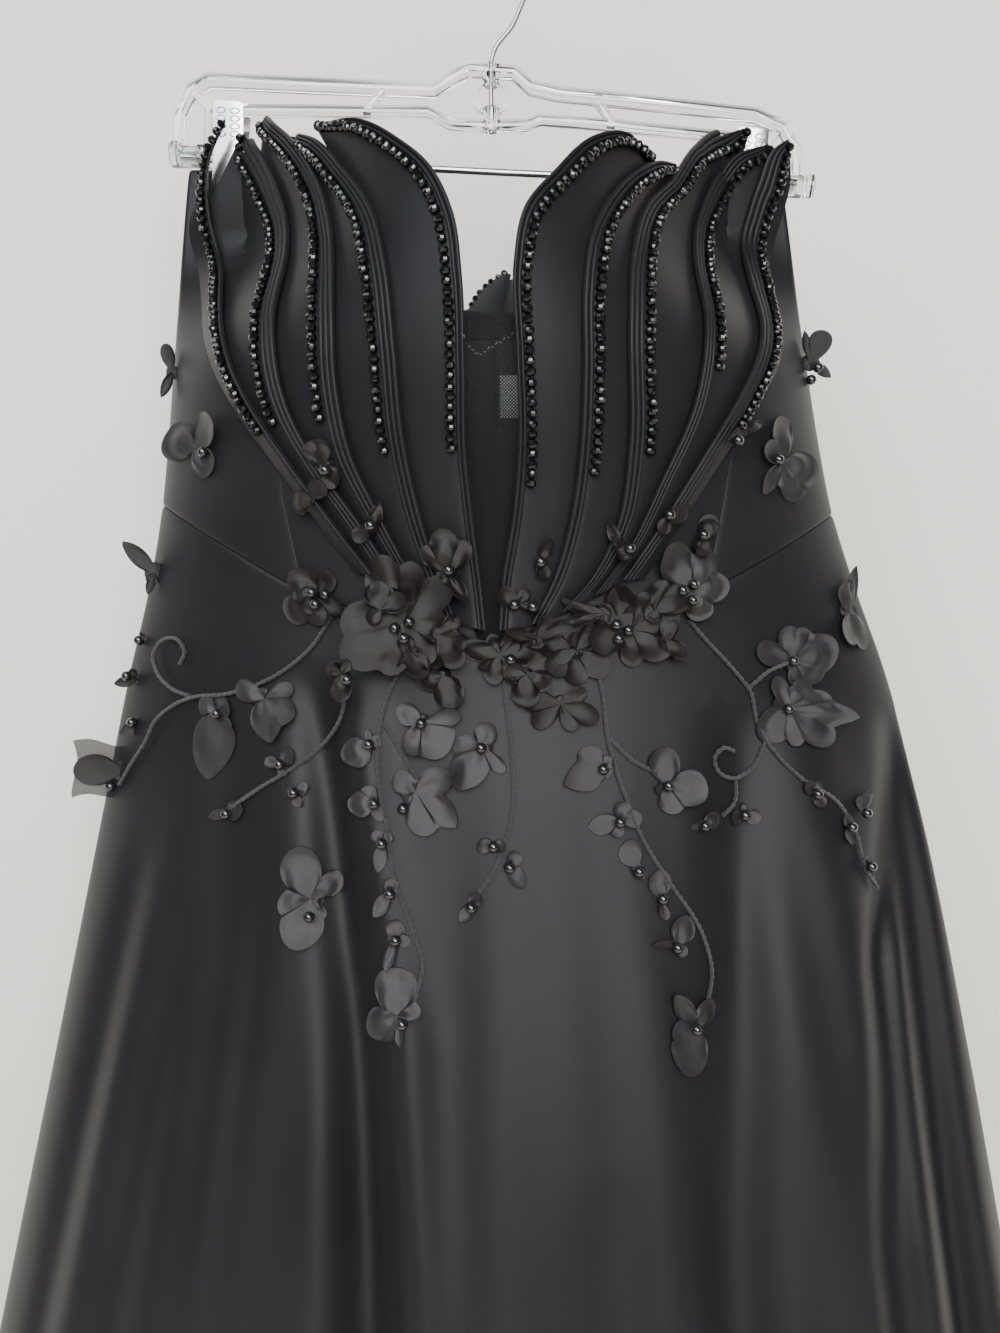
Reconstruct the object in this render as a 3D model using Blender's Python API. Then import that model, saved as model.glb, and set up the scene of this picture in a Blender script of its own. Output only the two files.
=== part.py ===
"""Strapless ball gown on a clear clip hanger.

Five overlapping petals a side lie over plain front and side panels, with a net inset in the front V.
A V waist seam joins the skirt, and corded sprays and cloth flowers lie on both.
Lengths are in mm and "down" is measured from the origin, the inside top of the hook. -Y is the front.
"""

import math

import bmesh
import bpy
import numpy as np
from mathutils import Vector
from mathutils.bvhtree import BVHTree

MM = 0.001
SEAM = 0.3
BODICE_WALL = 1.8
PETAL_WALL = 1.8
SKIRT_WALL = 1.6
NET_WALL = 1.0
FLOWER_WALL = 1.2
CLEAR_FLOWER, CLEAR_SPRAY = 0.45, 0.85
HEM = 1510
LIFT_FREE, LIFT_HIDDEN, LIFT_BACK = 9.0, 2.8, 2.35
CORD_HIGH, BEAD_HIGH = 1.2, 3.4
FRONT, BACK = 1, -1
RIGHT, UP, FORWARD = np.array([1.0, 0, 0]), np.array([0, 0, 1.0]), np.array([0, -1.0, 0])

# down, half width, centre, front depth, back depth
SECTIONS = np.array([
    (60, 160, -4.6, 82, 36), (118, 168, -4.6, 94, 44), (168, 174, -3.8, 105, 52),
    (216, 179, -2.7, 107, 55), (279, 187, -0.5, 97, 52), (310, 192, 0.8, 88, 50),
    (365, 206, 4.3, 78, 48), (400, 217, 6.3, 79, 50),
    (476, 236, 8.7, 90, 54), (625, 268, 8.4, 115, 60), (797, 303, 5.5, 140, 66), (1150, 375, 3.0, 175, 74),
    (HEM, 450, 0.0, 205, 80)], float)
# side, place across at the waist, at the hem, down at its start, depth at the hem, width across
FOLDS = [
    (FRONT, -0.43, -0.17, 400, 46, 0.055), (FRONT, 0.53, 0.34, 420, 34, 0.075),
    (FRONT, 0.96, 0.82, 430, 46, 0.05), (FRONT, -0.64, -0.54, 430, 16, 0.07),
    (FRONT, -0.69, -0.73, 520, 14, 0.05), (FRONT, -0.82, -0.88, 500, 14, 0.04),
    (FRONT, 0.10, 0.18, 650, 14, 0.07), (FRONT, 0.70, 0.70, 420, -24, 0.10),
    (BACK, -0.30, -0.20, 420, 30, 0.06), (BACK, 0.30, 0.20, 420, 30, 0.06),
    (BACK, -0.62, -0.58, 420, 24, 0.06), (BACK, 0.62, 0.58, 420, 24, 0.06)]
# (x, down) along the seam between the bodice and the skirt
WAIST_FRONT = [(-190, 310), (-141, 338), (-107, 357), (-48, 377), (0, 388), (54, 378), (118, 358),
               (153, 340), (194, 317)]
WAIST_BACK = [(-190, 310), (-100, 332), (0, 345), (100, 335), (194, 317)]
# (x, down) along the top edges of the plain panels
TOP_FRONT = [(-190, 121), (-160, 121), (-138, 122), (-112, 138), (-60, 165), (-40, 182), (-20, 205),
             (20, 215), (36, 190), (60, 178), (100, 158), (132, 141), (190, 138.5)]
TOP_BACK = [(-190, 121), (-155, 121), (-130, 124), (-60, 165), (0, 192), (60, 170), (130, 142),
            (190, 138.5)]

# the free edge of each petal as (x, down), from its tip to the waist, and how far in its beads lie
PETALS = {
    "petal_left_1": dict(free=[(-85, 130), (-64, 138), (-44, 152), (-28, 167), (-18, 188), (-14, 216), (-13, 256),
                               (-13, 290), (-10, 325), (-6, 360), (-4, 382)],
                         tip=[(-88, 130), (-84, 138), (-77, 152), (-72, 172)], bead=7.4, cords=2, beads_to=292),
    "petal_left_2": dict(free=[(-101, 128), (-89, 137), (-72, 158), (-58, 180), (-50, 210), (-46, 245),
                               (-43, 285), (-37, 318), (-29, 347), (-19, 377)],
                         tip=[(-104, 129), (-103, 137), (-97, 152)], bead=11, cords=3, beads_to=298),
    "petal_left_3": dict(free=[(-122, 109), (-102, 132), (-87, 158), (-79, 186), (-76, 230), (-75, 262),
                               (-69, 294), (-57, 321), (-45, 345), (-32, 369)],
                         tip=[(-125, 111), (-127, 126), (-124, 145)], bead=12, cords=3, beads_to=281, under=0.8),
    "petal_left_4": dict(free=[(-137, 108), (-123, 129), (-111, 156), (-105, 190), (-108, 230), (-102, 268),
                               (-85, 300), (-66, 327), (-46, 360)],
                         tip=[(-140, 110), (-147, 122), (-158, 143)], bead=13, cords=3, beads_to=283, under=0.5),
    "petal_left_5": dict(free=[(-146, 103), (-156, 124), (-157, 150), (-149, 188), (-141, 225), (-125, 262),
                               (-102, 296), (-79, 328), (-61, 352)],
                         tip=[(-149, 104), (-160, 118), (-166, 140)], bead=5.5, cords=1, beads_to=284, tuck=0),
    "petal_right_1": dict(free=[(79, 144), (64, 142), (48, 149), (30, 167), (15, 186), (10, 210), (11, 250),
                                (12, 290), (9, 325), (4, 355), (2, 382)],
                          tip=[(81, 147), (78, 157), (67, 176)], bead=7.4, cords=2, beads_to=309),
    "petal_right_2": dict(free=[(97, 142), (86, 146), (70, 158), (56, 176), (47, 196), (43, 222), (43, 255),
                                (42, 290), (37, 328), (29, 356), (18, 379)],
                          tip=[(98, 145), (92, 155), (85, 168)], bead=8.4, cords=2, beads_to=309),
    "petal_right_3": dict(free=[(140, 106), (121, 114), (106, 130), (93, 151), (76, 174), (68, 200), (65, 235),
                                (66, 290), (61, 328), (47, 357), (33, 373)],
                          tip=[(142, 109), (138, 122), (127, 142)], bead=11.3, cords=3, beads_to=295),
    "petal_right_4": dict(free=[(152, 115), (135, 121), (122, 137), (110, 164), (104, 197), (105, 236), (99, 270),
                                (84, 304), (67, 340), (50, 364)],
                          tip=[(155, 118), (153, 132), (149, 150)], bead=9.4, cords=3, beads_to=256),
    "petal_right_5": dict(free=[(162, 114), (154, 119), (147, 135), (139, 165), (139, 200), (139, 232), (125, 262),
                                (104, 295), (80, 333), (64, 356)],
                          tip=[(165, 117), (166, 132), (160, 160)], bead=13, cords=3, beads_to=280, tuck=0),
}
BACK_PETALS = {
    "petal_back_left": dict(free=[(8, 160), (-6, 168), (-18, 184), (-30, 210), (-36, 245), (-30, 290), (-14, 336)],
                            tip=[(11, 162), (7, 175), (3, 200), (2, 250), (2, 338)],
                            bead=6, cords=2, beads_to=280),
    "petal_back_right": dict(free=[(16, 166), (24, 176), (32, 190), (38, 215), (40, 245), (34, 290), (16, 337)],
                             tip=[(13, 167), (9, 185), (6, 210), (4.5, 250), (4.5, 339)],
                             bead=6, cords=2, beads_to=280),
}
# (x, down) along the seam between the side and the front panel, below the beaded petal that hides it
PANEL_SEAM = {-1: [(-113, 284), (-108, 316), (-101, 352)], 1: [(124, 284), (119, 316), (112, 352)]}


def smooth(at, values, x):
    """Cubic through (at, values); values may have columns."""
    at, values, x = np.asarray(at, float), np.asarray(values, float), np.asarray(x, float)
    slope = np.gradient(values, at, axis=0)
    i = np.clip(np.searchsorted(at, x) - 1, 0, len(at) - 2)
    step = at[i + 1] - at[i]
    t = (x - at[i]) / step
    if values.ndim > 1:
        step, t = step[..., None], t[..., None]
    return ((1 + 2 * t) * (1 - t) ** 2 * values[i] + t * (1 - t) ** 2 * step * slope[i]
            + t * t * (3 - 2 * t) * values[i + 1] + t * t * (t - 1) * step * slope[i + 1])


def spaced(points, count):
    """count evenly spaced points on a smooth curve through the given ones."""
    points = np.array(points, float)
    along = np.r_[0, np.cumsum(np.linalg.norm(np.diff(points, axis=0), axis=1))]
    fine = smooth(along, points, np.linspace(0, along[-1], 400))
    far = np.r_[0, np.cumsum(np.linalg.norm(np.diff(fine, axis=0), axis=1))]
    want = np.linspace(0, far[-1], count)
    return np.stack([np.interp(want, far, fine[:, k]) for k in range(fine.shape[1])], 1)


def ramp(x, low, high):
    t = np.clip((x - low) / (high - low), 0, 1)
    return t * t * (3 - 2 * t)


def folds(side, s, down):
    total = 0 * (s + down)
    for on, top, hem, start, deep, wide in FOLDS:
        if on == side:
            at = hem + (top - hem) * np.exp(-(down - 430) / 220)
            grown = np.clip((down - start) / (HEM - start), 0, 1) ** 0.6
            total = total + deep * grown * np.exp(-(((s - at) / wide) ** 2))
    return total


def span(down):
    """Half width and centre of the gown at a depth."""
    half, centre = np.moveaxis(smooth(SECTIONS[:, 0], SECTIONS[:, 1:3], down), -1, 0)
    return half, centre


def body(side, s, down):
    """The cloth's outer face. s runs from -1 to 1 across, and the clips pinch the sides flat at the top."""
    s, down = np.broadcast_arrays(np.asarray(s, float), np.asarray(down, float))
    half, centre, front, back = np.moveaxis(smooth(SECTIONS[:, 0], SECTIONS[:, 1:], down), -1, 0)
    depth = front if side > 0 else back
    pinched = ramp(down, 250, 155)
    fin = (1 - np.minimum(np.abs(s) / 0.76, 1) ** 2) ** 1.25
    lens = np.clip(1 - s * s, 0, 1) ** (0.75 - 0.2 * ramp(down, 400, 1500))
    edge = np.sqrt(1 - np.clip((np.abs(s) - 1 + 3 / half) * half / 3, 0, 1) ** 2)
    y = depth * (pinched * fin + (1 - pinched) * lens) + (3 - folds(side, s, down)) * edge + SEAM / 2
    return np.stack([centre + half * s, -side * y, -down], -1)


def lifted(side, s, down, lift):
    """The outer face moved out along its normal."""
    low, high = np.clip(s - 1e-3, -1, 1), np.clip(s + 1e-3, -1, 1)
    across = body(side, high, down) - body(side, low, down)
    along = body(side, s, down + 0.5) - body(side, s, down - 0.5)
    out = side * np.cross(along, across)
    out /= np.linalg.norm(out, axis=-1, keepdims=True)
    at_side = (np.abs(s) > 0.9995) & (out[..., 0] == out[..., 0])
    out[at_side] = np.stack([np.sign(s[at_side]), 0 * s[at_side], 0 * s[at_side]], -1)
    return body(side, s, down) + out * np.asarray(lift)[..., None]


def place_across(side, x, down, lift):
    """s for the point of the lifted face that shows at x, and how far x lies past the face."""
    half, centre = span(down)
    s = np.clip((x - centre) / half, -1, 1)
    for _ in range(4):
        s = np.clip(s + (x - lifted(side, s, down, lift)[..., 0]) / half, -0.97, 0.97)
    return s, x - lifted(side, s, down, lift)[..., 0]


def material(name, colour, roughness, metallic=0.0, alpha=1.0):
    made = bpy.data.materials.new(name)
    made.use_nodes = True
    shader = made.node_tree.nodes["Principled BSDF"]
    shader.inputs["Base Color"].default_value = (*colour, 1)
    shader.inputs["Roughness"].default_value = roughness
    shader.inputs["Metallic"].default_value = metallic
    shader.inputs["Alpha"].default_value = alpha
    return made


def add(name, points, faces, slot, rounded=True):
    """A named solid from points in mm, facing out."""
    mesh = bpy.data.meshes.new(name)
    mesh.from_pydata([tuple(float(c) * MM for c in p) for p in points], [], faces)
    work = bmesh.new()
    work.from_mesh(mesh)
    bmesh.ops.triangulate(work, faces=[f for f in work.faces if len(f.verts) > 4])
    bmesh.ops.recalc_face_normals(work, faces=work.faces)
    if work.calc_volume(signed=True) < 0:
        bmesh.ops.reverse_faces(work, faces=work.faces)
    work.to_mesh(mesh)
    work.free()
    for face in mesh.polygons:
        face.use_smooth = rounded
    obj = bpy.data.objects.new(name, mesh)
    bpy.context.scene.collection.objects.link(obj)
    obj.data.materials.append(slot)
    return obj


def shell(name, outer, inner, slot):
    """A closed wall between two grids that have the same number of rows."""
    rows, cols, back = outer.shape[0], outer.shape[1], inner.shape[1]
    start = rows * cols

    def at(r, c):
        return r * cols + c

    def under(r, c):
        return start + r * back + c

    faces = []
    for r in range(rows - 1):
        faces += [(at(r, c), at(r, c + 1), at(r + 1, c + 1), at(r + 1, c)) for c in range(cols - 1)]
        faces += [(under(r, c), under(r + 1, c), under(r + 1, c + 1), under(r, c + 1)) for c in range(back - 1)]
        faces.append((at(r, 0), at(r + 1, 0), under(r + 1, 0), under(r, 0)))
        faces.append((at(r, cols - 1), under(r, back - 1), under(r + 1, back - 1), at(r + 1, cols - 1)))
    for r in (0, rows - 1):
        if cols == back:
            faces += [(at(r, c), under(r, c), under(r, c + 1), at(r, c + 1)) for c in range(cols - 1)]
        else:
            faces.append([at(r, c) for c in range(cols)] + [under(r, c) for c in reversed(range(back))])
    return add(name, np.concatenate([outer.reshape(-1, 3), inner.reshape(-1, 3)]), faces, slot)


def panel(name, side, left, right, top, bottom, cols, rows, slot, wall=BODICE_WALL, lift=0.0, even=1.0):
    """A panel between left and right, which give s at a depth, and top and bottom, which give depth at x."""
    p, q = np.linspace(0, 1, cols)[None, :], np.linspace(0, 1, rows)[:, None] ** even
    down = 250 + 0 * p * q
    for _ in range(12):
        low, high = np.arcsin(left(down)), np.arcsin(right(down))
        s = np.sin(low + (high - low) * p)
        half, centre = span(down)
        x = centre + half * s
        down = top(x) + (bottom(x) - top(x)) * q
    return shell(name, lifted(side, s, down, lift + 0 * s), lifted(side, s, down, lift - wall + 0 * s), slot)


def depth_at(points, shift=0.0):
    points = np.array(points, float)
    return lambda x: smooth(points[:, 0], points[:, 1], np.clip(x, points[0, 0], points[-1, 0])) + shift


def across_at(points, shift=0.0):
    """s of the line through (x, down), moved shift to the right."""
    line = spaced(points, 60)
    order = np.argsort(line[:, 1])
    line = line[order]

    def across(down):
        half, centre = span(down)
        return np.clip((np.interp(down, line[:, 1], line[:, 0]) + shift - centre) / half, -1, 1)
    return across


def overlap(down):
    """How far a petal runs on under the next one."""
    return 10 - 5.5 * ramp(down, 200, 320)


def rise(down):
    """The petals stand off the panels towards their tips."""
    return 7 * ramp(down, 178, 128) + 4 * ramp(down, 135, 100)


def edges(spec, following, hand, rows):
    """Free and hidden edge of a petal as evenly spaced rows."""
    free = spaced(spec["free"], rows)
    tip = np.array(spec["tip"], float)
    if following is None:
        return free, spaced(tip, rows)
    rest = spaced(following, 40)
    rest[:, 0] += hand * overlap(rest[:, 1]) * spec.get("under", 1.0)
    start = np.argmax(rest[:, 1] > tip[-1, 1] + 12)
    kept = np.unique(np.linspace(start, len(rest) - 1, 10).astype(int))
    return free, spaced(np.concatenate([tip, rest[kept]]), rows)


def petal_points(side, free, hidden, spec):
    """Outer and inner grid of a petal: cords along the free edge, then the beaded cord, then plain cloth."""
    low = LIFT_HIDDEN if side > 0 else LIFT_BACK
    lift = np.stack([LIFT_FREE + rise(free[:, 1]), low + rise(hidden[:, 1])])
    s_free, past_free = place_across(side, free[:, 0], free[:, 1], lift[0])
    s_hidden, past_hidden = place_across(side, hidden[:, 0], hidden[:, 1], lift[1])
    ends = lifted(side, s_free, free[:, 1], lift[0]), lifted(side, s_hidden, hidden[:, 1], lift[1])
    wide = np.linalg.norm(ends[1] - ends[0], axis=1)
    tucked = np.where(np.arange(len(free)) < len(free) / 3, 1 - np.clip(wide / 27, 0, 1), 0)
    lift[0] -= tucked * (LIFT_FREE - LIFT_HIDDEN) * spec.get("tuck", 1)
    step = (spec["bead"] - 2.6) / spec["cords"]
    in_from = [0.0]
    raised = [0.3]
    for k in range(spec["cords"]):
        in_from += [(k + 0.5) * step, (k + 1) * step]
        raised += [CORD_HIGH, 0.0]
    in_from += [spec["bead"], spec["bead"] + 2.6]
    raised += [BEAD_HIGH, 0.0]
    fit = np.minimum(1, 0.8 * wide / in_from[-1])[:, None]
    t = np.array(in_from)[None, :] * fit / wide[:, None]
    t = np.concatenate([t, (t[:, -1:] + 1) / 2, 0 * t[:, -1:] + 1], 1)
    high = np.tile(np.array(raised + [0.0, 0.0]), (len(free), 1)) * fit
    beaded = ramp(free[:, 1], spec["beads_to"] + 8, spec["beads_to"] - 4) * np.clip(
        (wide - spec["bead"] - 12) / 7, 0, 1)
    high[:, len(raised) - 2] *= beaded

    def face(t, extra):
        s = s_free[:, None] + (s_hidden - s_free)[:, None] * t
        down = free[:, 1:2] + (hidden[:, 1:2] - free[:, 1:2]) * t
        base = lift[0][:, None] + (lift[1] - lift[0])[:, None] * t
        points = lifted(side, s, down, base + extra + 0.8 * np.sin(math.pi * t))
        points[..., 0] += past_free[:, None] + (past_hidden - past_free)[:, None] * t
        return points

    inner = np.stack([0 * wide, 0.5 + 0 * wide, 1 + 0 * wide], 1)
    return face(t, high), face(inner, -PETAL_WALL + 0 * inner)


def sweep(path, radius_x, radius_y, sides, turn=0.0):
    """Points and faces of a closed bar along a path; radius_y is its half depth in Y."""
    path = np.array(path, float)
    ahead = np.gradient(path, axis=0)
    ahead /= np.linalg.norm(ahead, axis=1, keepdims=True)
    deep = np.array([0, 1.0, 0])
    wide = np.cross(ahead, deep)
    wide /= np.linalg.norm(wide, axis=1, keepdims=True)
    deep = np.cross(wide, ahead)
    angles = turn + np.arange(sides) * 2 * math.pi / sides
    rings = (path[:, None] + radius_x * np.cos(angles)[None, :, None] * wide[:, None]
             + radius_y * np.sin(angles)[None, :, None] * deep[:, None])
    faces = []
    for r in range(len(path) - 1):
        for k in range(sides):
            n = (k + 1) % sides
            faces.append((r * sides + k, r * sides + n, (r + 1) * sides + n, (r + 1) * sides + k))
    faces.append(tuple(reversed(range(sides))))
    faces.append(tuple((len(path) - 1) * sides + k for k in range(sides)))
    return rings.reshape(-1, 3), faces


def bar(points, width, depth):
    """A bar of rectangular section along (x, down) points."""
    path = np.array([(x, 0, -down) for x, down in points], float)
    k = math.sqrt(2)
    return sweep(path, width / 2 * k, depth / 2 * k, 4, math.pi / 4)


def tube(path, radius, sides):
    return sweep(path, radius, radius, sides)


def ball(centre, radius, level=1):
    work = bmesh.new()
    bmesh.ops.create_icosphere(work, subdivisions=level, radius=radius)
    points = [np.array(v.co) + np.array(centre) for v in work.verts]
    faces = [tuple(v.index for v in f.verts) for f in work.faces]
    work.free()
    return points, faces


def combine(name, pieces, slot, cut=(), rounded=True):
    """One solid from pieces that run into each other, less the pieces in cut."""
    made = []
    for points, faces in list(pieces) + list(cut):
        made.append(add(name + "_piece", points, faces, slot))
    base, group, holes = made[0], bpy.data.collections.new("u"), bpy.data.collections.new("c")
    for obj in made[1:len(pieces)]:
        group.objects.link(obj)
    for obj in made[len(pieces):]:
        holes.objects.link(obj)
    for kind, others in (("UNION", group), ("DIFFERENCE", holes)):
        if len(others.objects):
            modifier = base.modifiers.new(kind, "BOOLEAN")
            modifier.operation, modifier.solver = kind, "EXACT"
            modifier.operand_type, modifier.collection = "COLLECTION", others
    graph = bpy.context.evaluated_depsgraph_get()
    mesh = bpy.data.meshes.new_from_object(base.evaluated_get(graph))
    for obj in made:
        bpy.data.objects.remove(obj)
    for other in (group, holes):
        bpy.data.collections.remove(other)
    mesh.name = name
    for face in mesh.polygons:
        face.use_smooth = rounded
    obj = bpy.data.objects.new(name, mesh)
    bpy.context.scene.collection.objects.link(obj)
    if not mesh.materials:
        mesh.materials.append(slot)
    return obj


class Ground:
    """The cloth built so far, to seat the next piece on."""

    def __init__(self):
        self.points, self.faces = [], []

    def take(self, *objects):
        for obj in objects:
            start = len(self.points)
            self.points += [v.co / MM for v in obj.data.vertices]
            obj.data.calc_loop_triangles()
            self.faces += [[start + i for i in f.vertices] for f in obj.data.loop_triangles]
        self.tree = BVHTree.FromPolygons(self.points, self.faces)

    def height(self, origin, right, up, out, a, b, near, above=60):
        """How far the cloth stands out, along out, round the point (a, b) of a plane."""
        best = None
        for da, db in ((0, 0), (near, 0), (-near, 0), (0, near), (0, -near)):
            start = origin + right * (a + da) + up * (b + db) + out * above
            hit = self.tree.ray_cast(Vector(start), Vector(-out), above + 50)
            if hit[0] is not None and (best is None or above - hit[3] > best):
                best = above - hit[3]
        return best

    def seat(self, x, down, out=(0, -1, 0)):
        """Point of the cloth under (x, down), seen along out, and the directions of a plane on it."""
        out = np.array(out, float)
        out /= np.linalg.norm(out)
        hits = []
        for beside in (0, 2, -2):
            start = np.array([x + beside, 0, -down - beside]) + out * 300
            hits.append(self.tree.ray_cast(Vector(start), Vector(-out), 600))
        hit = min((h for h in hits if h[0] is not None), key=lambda h: round(h[3] / 10))
        normal = np.array(hit[1])
        if normal @ out < 0:
            normal = -normal
        facing = normal * 0.6 + out * 0.4
        facing /= np.linalg.norm(facing)
        right = np.cross(UP, facing)
        right /= np.linalg.norm(right)
        return np.array(hit[0]), right, np.cross(facing, right), facing


def blossom(ground, x, down, wide, tall, lobes=5, turn=0.0, cup=4.0, out=(0, -1, 0), point=0.0, spokes=10):
    """A cupped cloth flower or leaf with a pearl, laid on the ground; point draws one end out to a tip."""
    origin, right, up, facing = ground.seat(x, down, out)
    angles = np.arange(spokes) * 2 * math.pi / spokes
    rim = (0.84 + 0.16 * np.cos(lobes * (angles - turn))) if lobes else 1 + 0 * angles
    rim = rim + point * np.clip(np.cos(angles - turn + math.pi / 2), 0, 1) ** 6

    def spot(k, share, radius):
        """Place in the flower's plane; share is how far out to the rim, radius is in mm instead."""
        return ((share * rim[k] * wide / 2 or radius) * math.cos(angles[k]),
                (share * rim[k] * tall / 2 or radius) * math.sin(angles[k]))

    def under(share, radius=0.0):
        """Height of the cloth under each point of a ring."""
        found = [ground.height(origin, right, up, facing, *spot(k, share, radius), 5.5) for k in range(spokes)]
        return np.array([0.0 if high is None else high for high in found])

    edge = under(1.0)
    core = max(under(0, 3.2).max(), under(0.55).max(), edge.max() - 5)

    def lay(share, radius, high):
        """A ring of points above the flower's bed."""
        ring = []
        for k in range(spokes if share or radius else 1):
            a, b = spot(k, share, radius)
            lift = max(edge[k], core - 5) if share == 1 else core
            lift += cup * share ** 2 * (0.6 + 0.4 * math.cos(2 * angles[k] + turn))
            ring.append(origin + right * a + up * b + facing * (lift + high))
        return ring

    top = [lay(0, 0, FLOWER_WALL + 4.2), lay(0, 2.5, FLOWER_WALL + 3), lay(0, 3.2, FLOWER_WALL),
           lay(0.55, 0, FLOWER_WALL), lay(1.0, 0, FLOWER_WALL)]
    below = [lay(0, 0, 0.0), lay(0.55, 0, 0.0), lay(1.0, 0, 0.0)]
    points, faces = sum(top + below, []), []
    for start, rings, flip in ((0, len(top) - 1, 1), (len(points) - 1 - 2 * spokes, len(below) - 1, -1)):
        for k in range(spokes):
            n = (k + 1) % spokes
            faces.append([start, start + 1 + k, start + 1 + n][::flip])
            for r in range(1, rings):
                one, two = start + 1 + (r - 1) * spokes, start + 1 + r * spokes
                faces += [[one + k, two + k, two + n][::flip], [one + k, two + n, one + n][::flip]]
    rim_out, rim_in = 1 + 3 * spokes, len(points) - spokes
    for k in range(spokes):
        n = (k + 1) % spokes
        faces.append([rim_out + k, rim_in + k, rim_in + n, rim_out + n])
    return points, faces


def stem(ground, path, count, radius=1.7):
    """A corded stem on the cloth along (x, down) points."""
    centres = []
    for x, down in spaced(path, count):
        origin = np.array([x, 0, -down])
        high = ground.height(origin, RIGHT, UP, FORWARD, 0, 0, 3.5, 200)
        centres.append((x, -(high + radius + 0.4), -down))
    return sweep(centres, radius, radius, 4)


def pearls(ground, places, radius=3.0):
    """Beads half sunk in what is already laid there, or in the nearest of it."""
    made = []
    for x, down in places:
        hit = ground.tree.ray_cast(Vector((x, -400, -down)), Vector((0, 1, 0)))[0]
        if hit is None:
            hit = ground.tree.find_nearest(Vector((x, -90, -down)))[0]
        made.append(ball(np.array(hit) + np.array([0, -radius * 0.5, 0]), radius))
    return made


def clearance(ground, pieces, out):
    """How far the pieces can sink against out before they meet the cloth."""
    free = []
    for points, faces in pieces:
        points = [Vector(p) for p in points]
        free += [ground.tree.ray_cast(p, -out, 30)[3] for p in points]
        piece = BVHTree.FromPolygons(points, faces)
        free += [piece.ray_cast(p, out, 30)[3] for p in ground.points]
    return min(distance for distance in free if distance is not None)


def spray(name, ground, slot, stems, flowers, beads):
    """Stems, flowers and pearls fused into one piece, just clear of the cloth."""
    pieces = [stem(ground, path, count) for path, count in stems] + [blossom(ground, **f) for f in flowers]
    out = Vector(flowers[0].get("out", FORWARD)).normalized()
    gap = CLEAR_SPRAY if stems else CLEAR_FLOWER
    sink = np.array(out) * (clearance(ground, pieces, out) - gap)
    pieces = [(np.array(points) - sink, faces) for points, faces in pieces]
    if len(pieces) == 1:
        return add(name, *pieces[0], slot)
    laid = Ground()
    laid.points, laid.faces = [], []
    for points, faces in pieces:
        start = len(laid.points)
        laid.points += [Vector(p) for p in points]
        laid.faces += [[start + i for i in f] for f in faces]
    laid.tree = BVHTree.FromPolygons(laid.points, laid.faces)
    return combine(name, pieces + pearls(laid, beads), slot)


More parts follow.
